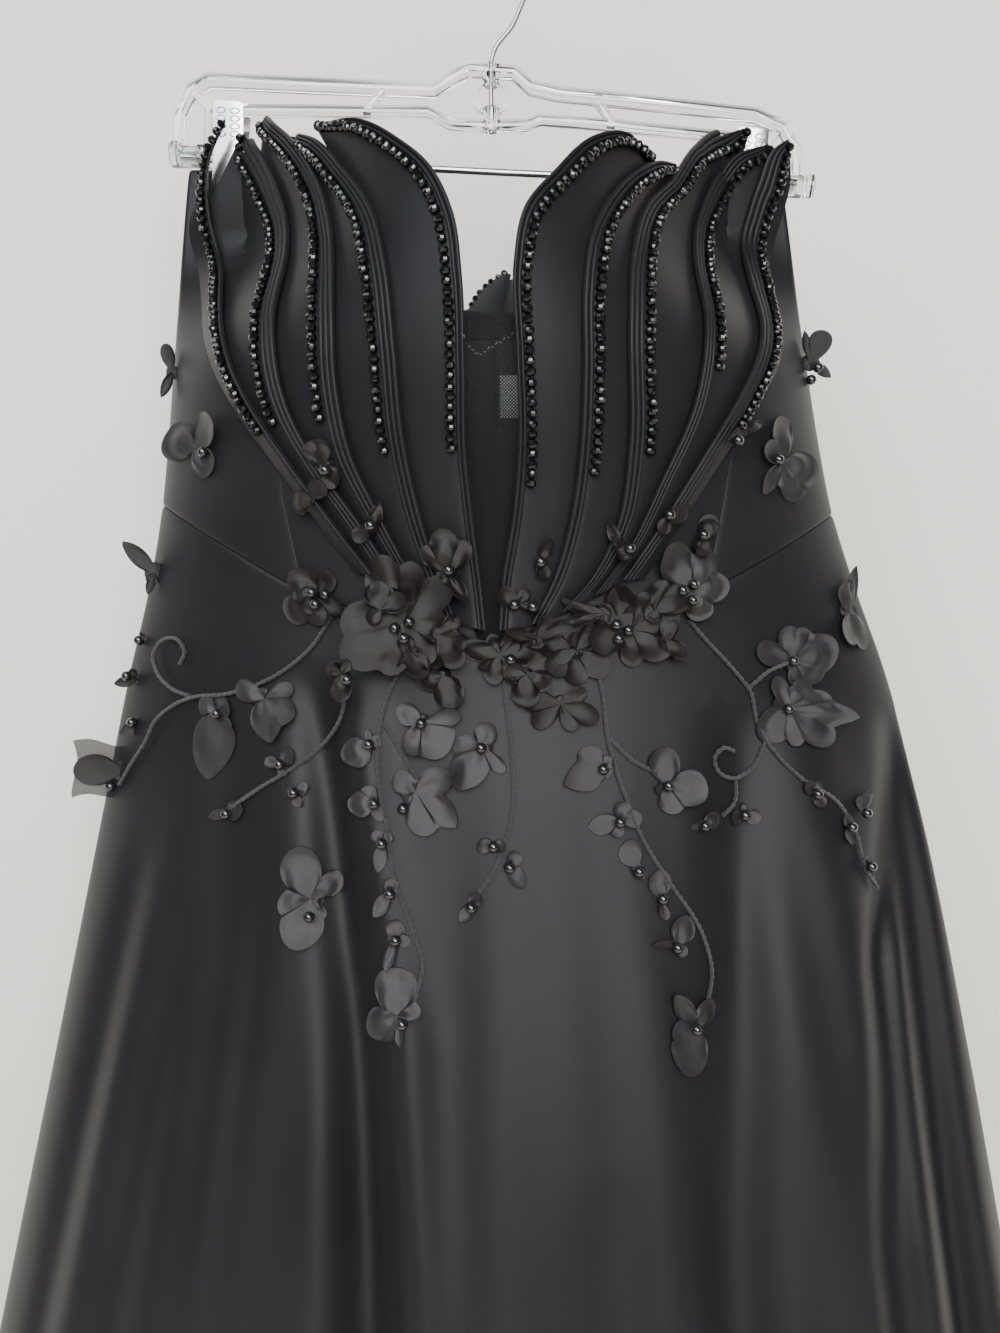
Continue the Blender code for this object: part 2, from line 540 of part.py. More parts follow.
def build():
    for obj in list(bpy.data.objects):
        bpy.data.objects.remove(obj)
    satin = material("satin", (0.018, 0.017, 0.018), 0.45)
    blossom_satin = material("flower_satin", (0.022, 0.021, 0.025), 0.38)
    net = material("net", (0.02, 0.02, 0.022), 0.8, 0, 0.6)
    plastic = material("clear_plastic", (0.9, 0.92, 0.92), 0.12, 0, 0.35)
    wire = material("hook_steel", (0.6, 0.61, 0.63), 0.28, 1.0)
    plated = material("clip_steel", (0.62, 0.63, 0.64), 0.32, 1.0)
    tag = material("label_cloth", (0.75, 0.75, 0.72), 0.8)

    # panels
    front_waist, back_waist = depth_at(WAIST_FRONT), depth_at(WAIST_BACK)
    front_top, back_top = depth_at(TOP_FRONT), depth_at(TOP_BACK)
    cloth = []
    seams = {}
    for hand, word in ((-1, "left"), (1, "right")):
        free = np.array(PETALS[f"petal_{word}_5"]["free"], float)
        under = free[free[:, 1] < 275] + (hand * 4.5, 0)
        seam = np.concatenate([under[1:], PANEL_SEAM[hand]])
        seams[hand] = seam
        inner = spaced(PETALS[f"petal_{word}_1"]["free"], 80)
        inner = inner[np.argmax(inner[:, 1] > 185):] + (hand * 5.5, 0)
        centre = across_at(np.concatenate([inner[::6], inner[-1:] + (-hand * 1.0, 14)]))
        side_edge = (lambda d, h=hand: 0 * d + h)
        at_seam = (across_at(seam, hand * SEAM / 2), across_at(seam, -hand * SEAM / 2))
        ends = (side_edge, at_seam[0]) if hand < 0 else (at_seam[0], side_edge)
        cloth.append(panel(f"bodice_side_{word}", FRONT, *ends, front_top, front_waist, 6, 10, satin))
        ends = (at_seam[1], centre) if hand < 0 else (centre, at_seam[1])
        cloth.append(panel(f"bodice_front_{word}", FRONT, *ends, front_top, front_waist, 11, 10, satin))
        middle = (lambda d, h=hand: (h * SEAM / 2 - span(d)[1]) / span(d)[0])
        ends = (side_edge, middle) if hand < 0 else (middle, side_edge)
        cloth.append(panel(f"bodice_back_{word}", BACK, *ends, back_top, back_waist, 8, 9, satin))
    skirt_top = depth_at(WAIST_FRONT, 2 * SEAM), depth_at(WAIST_BACK, 2 * SEAM)
    hem = (lambda x: HEM + 0 * x)
    cloth.append(panel("skirt_front", FRONT, lambda d: 0 * d - 1, lambda d: 0 * d + 1, skirt_top[0], hem,
                       49, 12, satin, SKIRT_WALL, 0.0, 1.45))
    for hand, word in ((-1, "left"), (1, "right")):
        middle = (lambda d, h=hand: (h * SEAM / 2 - span(d)[1]) / span(d)[0])
        side_edge = (lambda d, h=hand: 0 * d + h)
        ends = (side_edge, middle) if hand < 0 else (middle, side_edge)
        cloth.append(panel(f"skirt_back_{word}", BACK, *ends, skirt_top[1], hem, 17, 12, satin,
                           SKIRT_WALL, 0.0, 1.45))

    # net inset and the label that shows through it
    net_left = across_at([(-20, 225), (-22, 260), (-20, 330), (-8, 400)])
    net_right = across_at([(18, 225), (21, 260), (18, 330), (8, 400)])
    cloth.append(panel("net_inset", FRONT, net_left, net_right, lambda x: 231 + 0 * x, lambda x: 379 + 0 * x,
                       6, 8, net, NET_WALL, -BODICE_WALL - 0.7))
    cloth.append(panel("label", BACK, across_at([(3.5, 200), (3.5, 260)]), across_at([(15, 200), (15, 260)]),
                       lambda x: 224 + 0 * x, lambda x: 251 + 0 * x, 2, 3, tag, 0.8, -BODICE_WALL - 1.0))

    # petals
    for hand, word in ((-1, "left"), (1, "right")):
        for k in range(1, 6):
            name = f"petal_{word}_{k}"
            spec = PETALS[name]
            if k < 5:
                following = PETALS[f"petal_{word}_{k + 1}"]["free"]
            else:
                following = np.array(spec["free"], float) + (hand * (3 + spec["bead"] * 0.35), 0)
            free, hidden = edges(spec, following, hand, 17)
            cloth.append(shell(name, *petal_points(FRONT, free, hidden, spec), satin))
    for name, spec in BACK_PETALS.items():
        free, hidden = edges(spec, None, 1, 12)
        cloth.append(shell(name, *petal_points(BACK, free, hidden, spec), satin))

    ground = Ground()
    ground.take(*cloth)

    # sprays, then the flowers sewn on one by one
    for name, stems, flowers, beads in sprays():
        ground.take(spray(name, ground, blossom_satin, stems, flowers, beads))
    for name, flower in FLOWERS.items():
        ground.take(spray(name, ground, blossom_satin, [], [flower], []))

    hanger(plastic, wire, plated)


def sprays():
    """Name, stems as (path, points), flowers and leaves, and pearls on the stems, all as (x, down)."""
    return [
        ("spray_hip_left",
         [([(-84, 374), (-93, 388), (-108, 401), (-123, 409), (-143, 415), (-162, 417), (-177, 423),
            (-188, 432), (-194, 443), (-203, 455), (-212, 468)], 14),
          ([(-164, 417), (-178, 412), (-187, 404), (-189, 394), (-179, 387), (-169, 390)], 6)],
         [dict(x=-151, down=437, wide=27, tall=42, lobes=0, point=0.3, cup=3),
          dict(x=-114, down=421, wide=34, tall=40, lobes=3, turn=0.5, cup=3)],
         [(-202, 454)]),
        ("spray_low_left",
         [([(-76, 412), (-78, 424), (-91, 442), (-109, 455), (-121, 462), (-143, 477)], 8)],
         [dict(x=-109, down=456, wide=22, tall=26, lobes=3, cup=2),
          dict(x=-141, down=478, wide=20, tall=16, lobes=3, cup=2)],
         []),
        ("spray_drop_left",
         [([(-54, 414), (-58, 430), (-58, 458), (-54, 478), (-50, 504), (-42, 525), (-36, 545),
            (-40, 562)], 12),
          ([(-56, 428), (-46, 444), (-38, 458)], 4)],
         [dict(x=-38, down=432, wide=35, tall=32, lobes=3, turn=1.0, cup=3),
          dict(x=-37, down=466, wide=33, tall=36, lobes=0, point=0.2, cup=3),
          dict(x=-48, down=566, wide=28, tall=42, lobes=4, cup=4)],
         [(-56, 486), (-51, 507), (-42, 527)]),
        ("spray_centre",
         [([(5, 410), (8, 440), (8, 474), (1, 496), (-9, 512)], 8)],
         [dict(x=-7, down=445, wide=36, tall=29, lobes=3, turn=0.4, cup=3),
          dict(x=4, down=496, wide=22, tall=18, lobes=3, cup=2)],
         [(-5, 505)]),
        ("spray_drop_right",
         [([(54, 410), (57, 438), (64, 462), (74, 487), (87, 508), (104, 535), (109, 555),
            (106, 570)], 12),
          ([(58, 437), (70, 448), (82, 454)], 4)],
         [dict(x=47, down=454, wide=28, tall=24, lobes=3, cup=2.5),
          dict(x=91, down=458, wide=30, tall=38, lobes=4, cup=3.5),
          dict(x=58, down=478, wide=24, tall=20, lobes=3, cup=2),
          dict(x=84, down=521, wide=17, tall=30, lobes=4, cup=2),
          dict(x=99, down=578, wide=30, tall=44, lobes=4, cup=4)],
         [(72, 498), (98, 538)]),
        ("spray_hip_right",
         [([(100, 377), (107, 385), (125, 404), (133, 414), (137, 430), (143, 442), (160, 460),
            (180, 473), (191, 490), (197, 510)], 13),
          ([(141, 441), (133, 455), (124, 459), (115, 455), (115, 446), (122, 443)], 6),
          ([(130, 410), (142, 404), (155, 400)], 4)],
         [dict(x=153, down=399, wide=56, tall=34, lobes=3, turn=0.6, cup=4),
          dict(x=158, down=427, wide=60, tall=32, lobes=3, turn=2.4, cup=4)],
         [(171, 468), (189, 486)]),
    ]


FLOWERS = {
    "flower_waist_left": dict(x=-42, down=379, wide=64, tall=59, lobes=6, turn=0.3, cup=6, spokes=18),
    "flower_waist_side": dict(x=-91, down=363, wide=32, tall=30, lobes=5, cup=4),
    "flower_waist_centre": dict(x=2, down=397, wide=34, tall=28, lobes=5, turn=0.2, cup=4),
    "flower_waist_right": dict(x=40, down=394, wide=40, tall=36, lobes=5, turn=0.8, cup=4),
    "flower_waist_far": dict(x=69, down=384, wide=38, tall=40, lobes=5, turn=0.1, cup=6),
    "flower_hip_waist": dict(x=98, down=362, wide=34, tall=35, lobes=5, turn=0.5, cup=5),
    "flower_skirt": dict(x=-97, down=517, wide=38, tall=52, lobes=4, turn=0.4, cup=4),
    "flower_bodice_left": dict(x=-157, down=285, wide=50, tall=32, lobes=3, turn=0.2, cup=4),
    "flower_bodice_right": dict(x=153, down=294, wide=40, tall=42, lobes=3, turn=1.2, cup=4),
    "flower_front_left": dict(x=-21, down=345, wide=22, tall=28, lobes=3, turn=0.3, cup=3),
    "flower_side_right": dict(x=190, down=376, wide=22, tall=40, lobes=3, cup=4, out=(0.75, -0.66, 0)),
}


def hanger(plastic, wire, plated):
    """Clear frame, wire hook, rod and two pinch clips."""
    slope = math.tan(math.radians(3.04))

    def rod_down(x):
        return 113.4 + slope * (x + 161)

    pieces = [
        bar([(-179, 109), (-177.5, 89), (-171, 76), (-161, 70.4), (-111, 73.2), (-33, 76.5), (-24, 70.5),
             (-13, 65), (12, 66.6), (22, 75.5), (37, 78.8), (116, 87), (149, 91), (165, 98), (171.8, 110),
             (172, 127)], 5, 10),
        bar([(-158, 86.8), (-74, 88), (-37, 88.6), (-24, 95), (-5, 96.5), (19, 96), (28, 93), (65, 96.2),
             (141, 104.4)], 4, 8),
        bar([(-170.6, 76), (-159, 87.6)], 3.6, 7), bar([(-60, 75), (-72.5, 88)], 3.2, 6.6),
        bar([(57.5, 80.8), (69.5, 97)], 3.2, 6.6), bar([(165.6, 98), (154, 107)], 3.6, 7),
        bar([(-161, 87), (-162, 109)], 3.6, 7.6), bar([(140, 104.2), (157.3, 106), (157.3, 127)], 3.6, 7.6),
        tube([(-181.5, 0, -rod_down(-181.5)), (-159, 0, -rod_down(-159))], 6.2, 12),
        tube([(154, 0, -rod_down(154)), (175.4, 0, -rod_down(175.4))], 6.2, 12),
        tube([(-0.6, 0, -63), (-0.6, 0, -74)], 4.6, 12), tube([(-0.6, 0, -87), (-0.6, 0, -99)], 4.9, 12),
    ]
    ring = [(-0.6 + 9.6 * math.cos(a), 0, -80.4 + 9.6 * math.sin(a)) for a in np.linspace(0, 2 * math.pi, 21)[:-1]]
    ring_points, ring_faces = sweep(ring, 1.6, 2.6, 4, math.pi / 4)
    ring_faces = ring_faces[:-2] + [(76 + k, 76 + (k + 1) % 4, (k + 1) % 4, k) for k in range(4)]
    ring_points = np.array(ring_points)
    pieces.append((ring_points, ring_faces))
    cut = [tube([(-178, 0, -rod_down(-178)), (172, 0, -rod_down(172))], 2.4, 10),
           tube([(-0.6, 0, -55), (-0.6, 0, -95)], 1.8, 10)]
    combine("hanger_frame", pieces, plastic, cut, rounded=False)

    arc = [(19.9 * math.cos(a), 0, -18.5 + 19.9 * math.sin(a)) for a in np.radians(np.arange(205, -26, -15))]
    neck = [(17.0, 0, -35), (14.1, 0, -41.5), (6.6, 0, -46.6), (2.2, 0, -51.5), (0.0, 0, -58), (-0.6, 0, -66),
            (-0.6, 0, -94)]
    add("hanger_hook", *tube(arc + neck, 1.4, 8), wire)
    add("clip_rod", *tube([(-177, 0, -rod_down(-177)), (171, 0, -rod_down(171))], 2.0, 10), plated)

    outline = [(-9.8, 28), (-8.6, 28.4), (-4.4, 6.2), (4.4, 6.2), (8.6, 28.4), (9.8, 28), (5.6, 3), (5.1, -22),
               (3.9, -22), (3.9, 2.8), (-3.9, 2.8), (-3.9, -22), (-5.1, -22), (-5.6, 3)]
    for word, x in (("left", -149.2), ("right", 144.8)):
        lean = math.radians(3.04)
        points = []
        for end in (-8.6, 8.6):
            for y, high in outline:
                points.append((x + end * math.cos(lean) + high * math.sin(lean), y,
                               -rod_down(x) - end * math.sin(lean) + high * math.cos(lean)))
        n = len(outline)
        faces = [(k, (k + 1) % n, n + (k + 1) % n, n + k) for k in range(n)]
        halves = [(0, 1, 2, 10, 11, 12, 13), (2, 3, 9, 10), (3, 4, 5, 6, 7, 8, 9)]
        faces += [tuple(h) for h in halves] + [tuple(n + k for k in reversed(h)) for h in halves]
        add(f"clip_{word}", points, faces, plated, rounded=False)


build()
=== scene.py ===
# %% [markdown]
# # A strapless satin ball gown on a clear clip hanger
# The gown hangs by two spring clips from a clear plastic hanger. Its bodice is five stiff satin petals a
# side that overlap like shingles over plain panels, with a net inset in the V at the front. The skirt
# flares from a V waist seam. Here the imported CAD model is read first: it gives the exact frame, and each
# soft solid in it is then replaced by finer cloth on the same form.

# %% Load the frame
import math

import bmesh
import bpy
import numpy as np
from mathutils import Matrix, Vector
from mathutils.bvhtree import BVHTree


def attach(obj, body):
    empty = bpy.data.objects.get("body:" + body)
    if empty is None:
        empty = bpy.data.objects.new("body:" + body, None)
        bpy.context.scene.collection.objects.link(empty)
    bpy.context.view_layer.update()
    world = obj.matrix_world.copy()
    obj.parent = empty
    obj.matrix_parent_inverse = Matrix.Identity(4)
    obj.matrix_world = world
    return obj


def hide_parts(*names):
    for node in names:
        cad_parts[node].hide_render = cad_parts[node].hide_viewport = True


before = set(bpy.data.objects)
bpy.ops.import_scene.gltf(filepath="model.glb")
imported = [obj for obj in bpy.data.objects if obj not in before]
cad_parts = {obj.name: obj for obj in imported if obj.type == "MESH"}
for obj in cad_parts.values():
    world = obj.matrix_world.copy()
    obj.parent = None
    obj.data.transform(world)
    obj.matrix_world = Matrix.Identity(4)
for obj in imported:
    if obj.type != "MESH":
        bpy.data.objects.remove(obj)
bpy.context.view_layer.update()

bpy.ops.object.select_all(action="DESELECT")
MM = 0.001

# %% [markdown]
# ## The form of the cloth
# A hanging gown is a flattened tube: wide from side to side and shallow from front to back. A few widths
# and depths at known heights describe it, and smooth curves run between them. Folds are ridges and
# valleys that start below the waist and deepen to the hem. All lengths here are in millimetres, "down" is
# measured from the hook, and s runs from -1 at the left side to 1 at the right side.

# %% Widths, depths and folds
FRONT, BACK = 1, -1
HEM = 1510
SEAM = 0.3
PINCHED_TO, PINCH_FADES = 155, 250  # down, to where the clips flatten the bodice and where that ends
FIN_SPAN, FIN_POWER = 0.76, 1.25  # share of the width that a pinched bodice fills, and its fullness
LENS_POWER, LENS_EASES = 0.75, 0.2  # roundness of the tube at the top, and how far it eases to the hem
SIDE_TURN = 3  # radius of the cloth's turn at the sides
SECTIONS = np.array([  # down, half width, centre, front depth, back depth
    (60, 160, -4.6, 82, 36), (118, 168, -4.6, 94, 44), (168, 174, -3.8, 105, 52),
    (216, 179, -2.7, 107, 55), (279, 187, -0.5, 97, 52), (310, 192, 0.8, 88, 50),
    (365, 206, 4.3, 78, 48), (400, 217, 6.3, 79, 50),
    (476, 236, 8.7, 90, 54), (625, 268, 8.4, 115, 60), (797, 303, 5.5, 140, 66), (1150, 375, 3.0, 175, 74),
    (HEM, 450, 0.0, 205, 80)], float)
FOLDS = [  # side, s at the waist, s at the hem, down at its start, depth at the hem, width across
    (FRONT, -0.43, -0.17, 400, 46, 0.055), (FRONT, 0.53, 0.34, 420, 34, 0.075),
    (FRONT, 0.96, 0.82, 430, 46, 0.05), (FRONT, -0.64, -0.54, 430, 16, 0.07),
    (FRONT, -0.69, -0.73, 520, 14, 0.05), (FRONT, -0.82, -0.88, 500, 14, 0.04),
    (FRONT, 0.10, 0.18, 650, 14, 0.07), (FRONT, 0.70, 0.70, 420, -24, 0.10),
    (BACK, -0.30, -0.20, 420, 30, 0.06), (BACK, 0.30, 0.20, 420, 30, 0.06),
    (BACK, -0.62, -0.58, 420, 24, 0.06), (BACK, 0.62, 0.58, 420, 24, 0.06)]
CREASES = [  # (down, s) along it, depth, width across, down at its start and where it is full
    ([(430, 0.96), (508, 0.855), (560, 0.78), (706, 0.71), (900, 0.685), (1200, 0.68)],
     18, 0.045, 440, 560),
    ([(385, -0.365), (454, -0.33), (540, -0.27), (583, -0.215), (700, -0.16), (900, -0.135),
      (1200, -0.13)], -8, 0.06, 386, 450)]
CREASE_FADES, CREASE_ENDS = 800, 1150
FOLDS_START, FOLDS_SPREAD, FOLD_GROWTH = 430, 220, 0.48


def smooth(at, values, x):
    """Cubic through (at, values); values may have columns."""
    at, values, x = np.asarray(at, float), np.asarray(values, float), np.asarray(x, float)
    slope = np.gradient(values, at, axis=0)
    i = np.clip(np.searchsorted(at, x) - 1, 0, len(at) - 2)
    step = at[i + 1] - at[i]
    t = (x - at[i]) / step
    if values.ndim > 1:
        step, t = step[..., None], t[..., None]
    return ((1 + 2 * t) * (1 - t) ** 2 * values[i] + t * (1 - t) ** 2 * step * slope[i]
            + t * t * (3 - 2 * t) * values[i + 1] + t * t * (t - 1) * step * slope[i + 1])


def ramp(x, low, high):
    """0 below low, 1 above high, and a smooth step between them."""
    t = np.clip((x - low) / (high - low), 0, 1)
    return t * t * (3 - 2 * t)


def run_along(points):
    """Distance of each point along the line, from its start."""
    return np.r_[0, np.cumsum(np.linalg.norm(np.diff(points, axis=0), axis=1))]


def points_at(want, line):
    """Points of a line at the wanted distances from its start."""
    far = run_along(line)
    return np.stack([np.interp(want, far, line[:, k]) for k in range(line.shape[1])], 1)


def spaced(points, count):
    """count evenly spaced points on a smooth curve through the given ones."""
    points = np.array(points, float)
    along = run_along(points)
    fine = smooth(along, points, np.linspace(0, along[-1], 400))
    return points_at(np.linspace(0, run_along(fine)[-1], count), fine)


print("skirt width at the hem:", 2 * SECTIONS[-1, 1], "mm, folds:", len(FOLDS))

# %% The surface itself


def folds(side, s, down):
    """How far the folds draw the cloth in."""
    total = 0 * (s + down)
    for on, top, hem, start, deep, wide in FOLDS:
        if on == side:
            at = hem + (top - hem) * np.exp(-(down - FOLDS_START) / FOLDS_SPREAD)
            grown = np.clip((down - start) / (HEM - start), 0, 1) ** FOLD_GROWTH
            total = total + deep * grown * np.exp(-(((s - at) / wide) ** 2))
    for path, deep, wide, start, full in CREASES if side == FRONT else ():
        at = np.interp(down, *np.array(path).T)
        grown = ramp(down, start, full) * ramp(down, CREASE_ENDS, CREASE_FADES)
        total = total + deep * grown * np.exp(-(((s - at) / wide) ** 2))
    return total


def span(down):
    """Half width and centre of the gown at a depth."""
    half, centre = np.moveaxis(smooth(SECTIONS[:, 0], SECTIONS[:, 1:3], down), -1, 0)
    return half, centre


def body(side, s, down):
    """The cloth's outer face. The clips pinch the sides flat at the top."""
    s, down = np.broadcast_arrays(np.asarray(s, float), np.asarray(down, float))
    half, centre, front, back = np.moveaxis(smooth(SECTIONS[:, 0], SECTIONS[:, 1:], down), -1, 0)
    depth = front if side > 0 else back
    pinched = ramp(down, PINCH_FADES, PINCHED_TO)
    fin = (1 - np.minimum(np.abs(s) / FIN_SPAN, 1) ** 2) ** FIN_POWER
    lens = np.clip(1 - s * s, 0, 1) ** (LENS_POWER - LENS_EASES * ramp(down, 400, 1500))
    edge = np.sqrt(1 - np.clip((np.abs(s) - 1 + SIDE_TURN / half) * half / SIDE_TURN, 0, 1) ** 2)
    y = (depth * (pinched * fin + (1 - pinched) * lens)
         + (SIDE_TURN - folds(side, s, down)) * edge + SEAM / 2)
    return np.stack([centre + half * s, -side * y, -down], -1)


def lifted(side, s, down, lift):
    """The outer face moved out along its normal."""
    low, high = np.clip(s - 1e-3, -1, 1), np.clip(s + 1e-3, -1, 1)
    across = body(side, high, down) - body(side, low, down)
    along = body(side, s, down + 0.5) - body(side, s, down - 0.5)
    out = side * np.cross(along, across)
    out /= np.linalg.norm(out, axis=-1, keepdims=True)
    ends = np.abs(s) > 0.9995
    out[ends] = np.stack([np.sign(s[ends]), 0 * s[ends], 0 * s[ends]], -1)
    return body(side, s, down) + out * np.asarray(lift)[..., None]


print("front depth at the bust:", round(float(-body(FRONT, 0, 200)[1]), 1), "mm")

# %% [markdown]
# ## Finishes
# Black satin is not flat black: its long smooth threads give it broad soft highlights, and a fine grain
# breaks them up. One node group makes that grain from the object's own coordinates, and each cloth gives
# it its own thread count. A second group gives glass, pearl, plastic and steel a faint unevenness. Numbers
# that are the same all over are set on the shader itself.

# %% A node group for woven threads


def empty_group(name, values, outputs):
    """A shader node group with a Vector input, numbered inputs and float outputs."""
    group = bpy.data.node_groups.new(name, "ShaderNodeTree")
    face = group.interface
    face.new_socket("Vector", in_out="INPUT", socket_type="NodeSocketVector")
    for socket, value in values:
        face.new_socket(socket, in_out="INPUT", socket_type="NodeSocketFloat").default_value = value
    for socket in outputs:
        face.new_socket(socket, in_out="OUTPUT", socket_type="NodeSocketFloat")
    return group


def woven_group():
    """Crossed threads as a height, and a slow patchiness."""
    group = empty_group("woven_threads", (("Threads per metre", 1800.0), ("Patchiness", 14.0)),
                        ("Height", "Patch"))
    nodes, links = group.nodes, group.links
    enter, leave = nodes.new("NodeGroupInput"), nodes.new("NodeGroupOutput")
    warp = nodes.new("ShaderNodeTexWave")
    warp.bands_direction = "X"
    weft = nodes.new("ShaderNodeTexWave")
    weft.bands_direction = "Z"
    for wave in (warp, weft):
        wave.inputs["Distortion"].default_value = 1.2
        wave.inputs["Detail Scale"].default_value = 0.3
        links.new(enter.outputs["Vector"], wave.inputs["Vector"])
        links.new(enter.outputs["Threads per metre"], wave.inputs["Scale"])
    both = nodes.new("ShaderNodeMath")
    both.operation = "ADD"
    links.new(warp.outputs["Fac"], both.inputs[0])
    links.new(weft.outputs["Fac"], both.inputs[1])
    patch = nodes.new("ShaderNodeTexNoise")
    patch.inputs["Detail"].default_value = 3
    links.new(enter.outputs["Vector"], patch.inputs["Vector"])
    links.new(enter.outputs["Patchiness"], patch.inputs["Scale"])
    links.new(both.outputs[0], leave.inputs["Height"])
    links.new(patch.outputs["Fac"], leave.inputs["Patch"])
    return group


WOVEN = woven_group()
print("group outputs:", [s.name for s in WOVEN.interface.items_tree if s.in_out == "OUTPUT"])

# %% Cloth finishes
THREAD_HEIGHT = 0.0002  # metres


def finish_named(name, colour, roughness, **plain):
    """A material with its shader's plain values set."""
    made = bpy.data.materials.new(name)
    made.use_nodes = True
    shader = made.node_tree.nodes["Principled BSDF"]
    shader.inputs["Base Color"].default_value = (*colour, 1)
    shader.inputs["Roughness"].default_value = roughness
    for socket, value in plain.items():
        shader.inputs[socket.replace("_", " ")].default_value = value
    made.diffuse_color = (*colour, 1)
    return made, shader


def cloth_finish(name, dark, light, rough, threads, bump, patchiness=14.0, **plain):
    """Woven cloth: its colour and roughness drift in patches, and its threads raise a fine grain."""
    made, shader = finish_named(name, dark, rough[0], **plain)
    nodes, links = made.node_tree.nodes, made.node_tree.links
    place = nodes.new("ShaderNodeTexCoord")
    weave = nodes.new("ShaderNodeGroup")
    weave.node_tree = WOVEN
    weave.inputs["Threads per metre"].default_value = threads
    weave.inputs["Patchiness"].default_value = patchiness
    links.new(place.outputs["Object"], weave.inputs["Vector"])
    tint = nodes.new("ShaderNodeMix")
    tint.data_type = "RGBA"
    tint.inputs["A"].default_value = (*dark, 1)
    tint.inputs["B"].default_value = (*light, 1)
    links.new(weave.outputs["Patch"], tint.inputs["Factor"])
    links.new(tint.outputs["Result"], shader.inputs["Base Color"])
    gloss = nodes.new("ShaderNodeMapRange")
    gloss.inputs["To Min"].default_value, gloss.inputs["To Max"].default_value = rough
    links.new(weave.outputs["Patch"], gloss.inputs["Value"])
    links.new(gloss.outputs["Result"], shader.inputs["Roughness"])
    raised = nodes.new("ShaderNodeBump")
    raised.inputs["Strength"].default_value = bump
    raised.inputs["Distance"].default_value = THREAD_HEIGHT
    links.new(weave.outputs["Height"], raised.inputs["Height"])
    links.new(raised.outputs["Normal"], shader.inputs["Normal"])
    return made


SATIN = cloth_finish("black_satin", (0.0095, 0.0092, 0.0115), (0.0150, 0.0143, 0.0168), (0.39, 0.47),
                     1400, 0.12, Specular_IOR_Level=0.19, Sheen_Weight=0.03, Sheen_Roughness=0.4)
FLOWER = cloth_finish("flower_satin", (0.008, 0.0075, 0.009), (0.030, 0.027, 0.030), (0.24, 0.40),
                      1200, 0.25, 110.0, Specular_IOR_Level=0.42, Sheen_Weight=0.03, Sheen_Roughness=0.35)
DEEP = cloth_finish("deep_flower_satin", (0.004, 0.003, 0.0035), (0.017, 0.012, 0.013), (0.28, 0.44),
                    1200, 0.25, 90.0, Specular_IOR_Level=0.30, Sheen_Weight=0.02, Sheen_Roughness=0.35)
CORDED = cloth_finish("corded_thread", (0.010, 0.0097, 0.012), (0.028, 0.0265, 0.030), (0.5, 0.7),
                      900, 0.9, 300.0, Sheen_Weight=0.2)
TAPE = cloth_finish("label_tape", (0.70, 0.70, 0.68), (0.80, 0.80, 0.78), (0.7, 0.9), 900, 0.6)
print("cloths:", SATIN.name, FLOWER.name, DEEP.name, CORDED.name, TAPE.name)

# %% Hard finishes
WORN_HEIGHT = 0.0003  # metres


def worn_group():
    """Fine unevenness of moulded or drawn surfaces: a roughness and a small height."""
    group = empty_group("worn_surface", (("Scale", 60.0), ("Least roughness", 0.05),
                                         ("Most roughness", 0.15)), ("Roughness", "Height"))
    nodes, links = group.nodes, group.links
    enter, leave = nodes.new("NodeGroupInput"), nodes.new("NodeGroupOutput")
    noise = nodes.new("ShaderNodeTexNoise")
    noise.inputs["Detail"].default_value = 4
    spread = nodes.new("ShaderNodeMapRange")
    links.new(enter.outputs["Vector"], noise.inputs["Vector"])
    links.new(enter.outputs["Scale"], noise.inputs["Scale"])
    links.new(noise.outputs["Fac"], spread.inputs["Value"])
    links.new(enter.outputs["Least roughness"], spread.inputs["To Min"])
    links.new(enter.outputs["Most roughness"], spread.inputs["To Max"])
    links.new(spread.outputs["Result"], leave.inputs["Roughness"])
    links.new(noise.outputs["Fac"], leave.inputs["Height"])
    return group


WORN = worn_group()


def hard_finish(name, colour, rough, scale, bump, **plain):
    """A hard surface with drifting roughness and a slight unevenness."""
    made, shader = finish_named(name, colour, rough[0], **plain)
    nodes, links = made.node_tree.nodes, made.node_tree.links
    place = nodes.new("ShaderNodeTexCoord")
    worn = nodes.new("ShaderNodeGroup")
    worn.node_tree = WORN
    for socket, value in (("Scale", scale), ("Least roughness", rough[0]), ("Most roughness", rough[1])):
        worn.inputs[socket].default_value = value
    raised = nodes.new("ShaderNodeBump")
    raised.inputs["Strength"].default_value = bump
    raised.inputs["Distance"].default_value = WORN_HEIGHT
    links.new(place.outputs["Object"], worn.inputs["Vector"])
    links.new(worn.outputs["Roughness"], shader.inputs["Roughness"])
    links.new(worn.outputs["Height"], raised.inputs["Height"])
    links.new(raised.outputs["Normal"], shader.inputs["Normal"])
    return made


CLEAR = hard_finish("clear_plastic", (0.93, 0.95, 0.95), (0.02, 0.07), 55, 0.25,
                    Transmission_Weight=1.0, IOR=1.49)
WIRE = hard_finish("drawn_steel", (0.50, 0.50, 0.52), (0.22, 0.36), 300, 0.1, Metallic=1.0)
PLATE = hard_finish("plated_steel", (0.58, 0.58, 0.59), (0.16, 0.3), 120, 0.15, Metallic=1.0)
BEAD = hard_finish("faceted_black_glass", (0.003, 0.003, 0.004), (0.11, 0.18), 400, 0.02,
                   Coat_Weight=0.25, Coat_Roughness=0.06)
PEARL = hard_finish("black_pearl", (0.008, 0.008, 0.009), (0.09, 0.16), 300, 0.02,
                    Coat_Weight=1.0, Coat_Roughness=0.03)
print("hard finishes:", CLEAR.name, WIRE.name, PLATE.name, BEAD.name, PEARL.name)
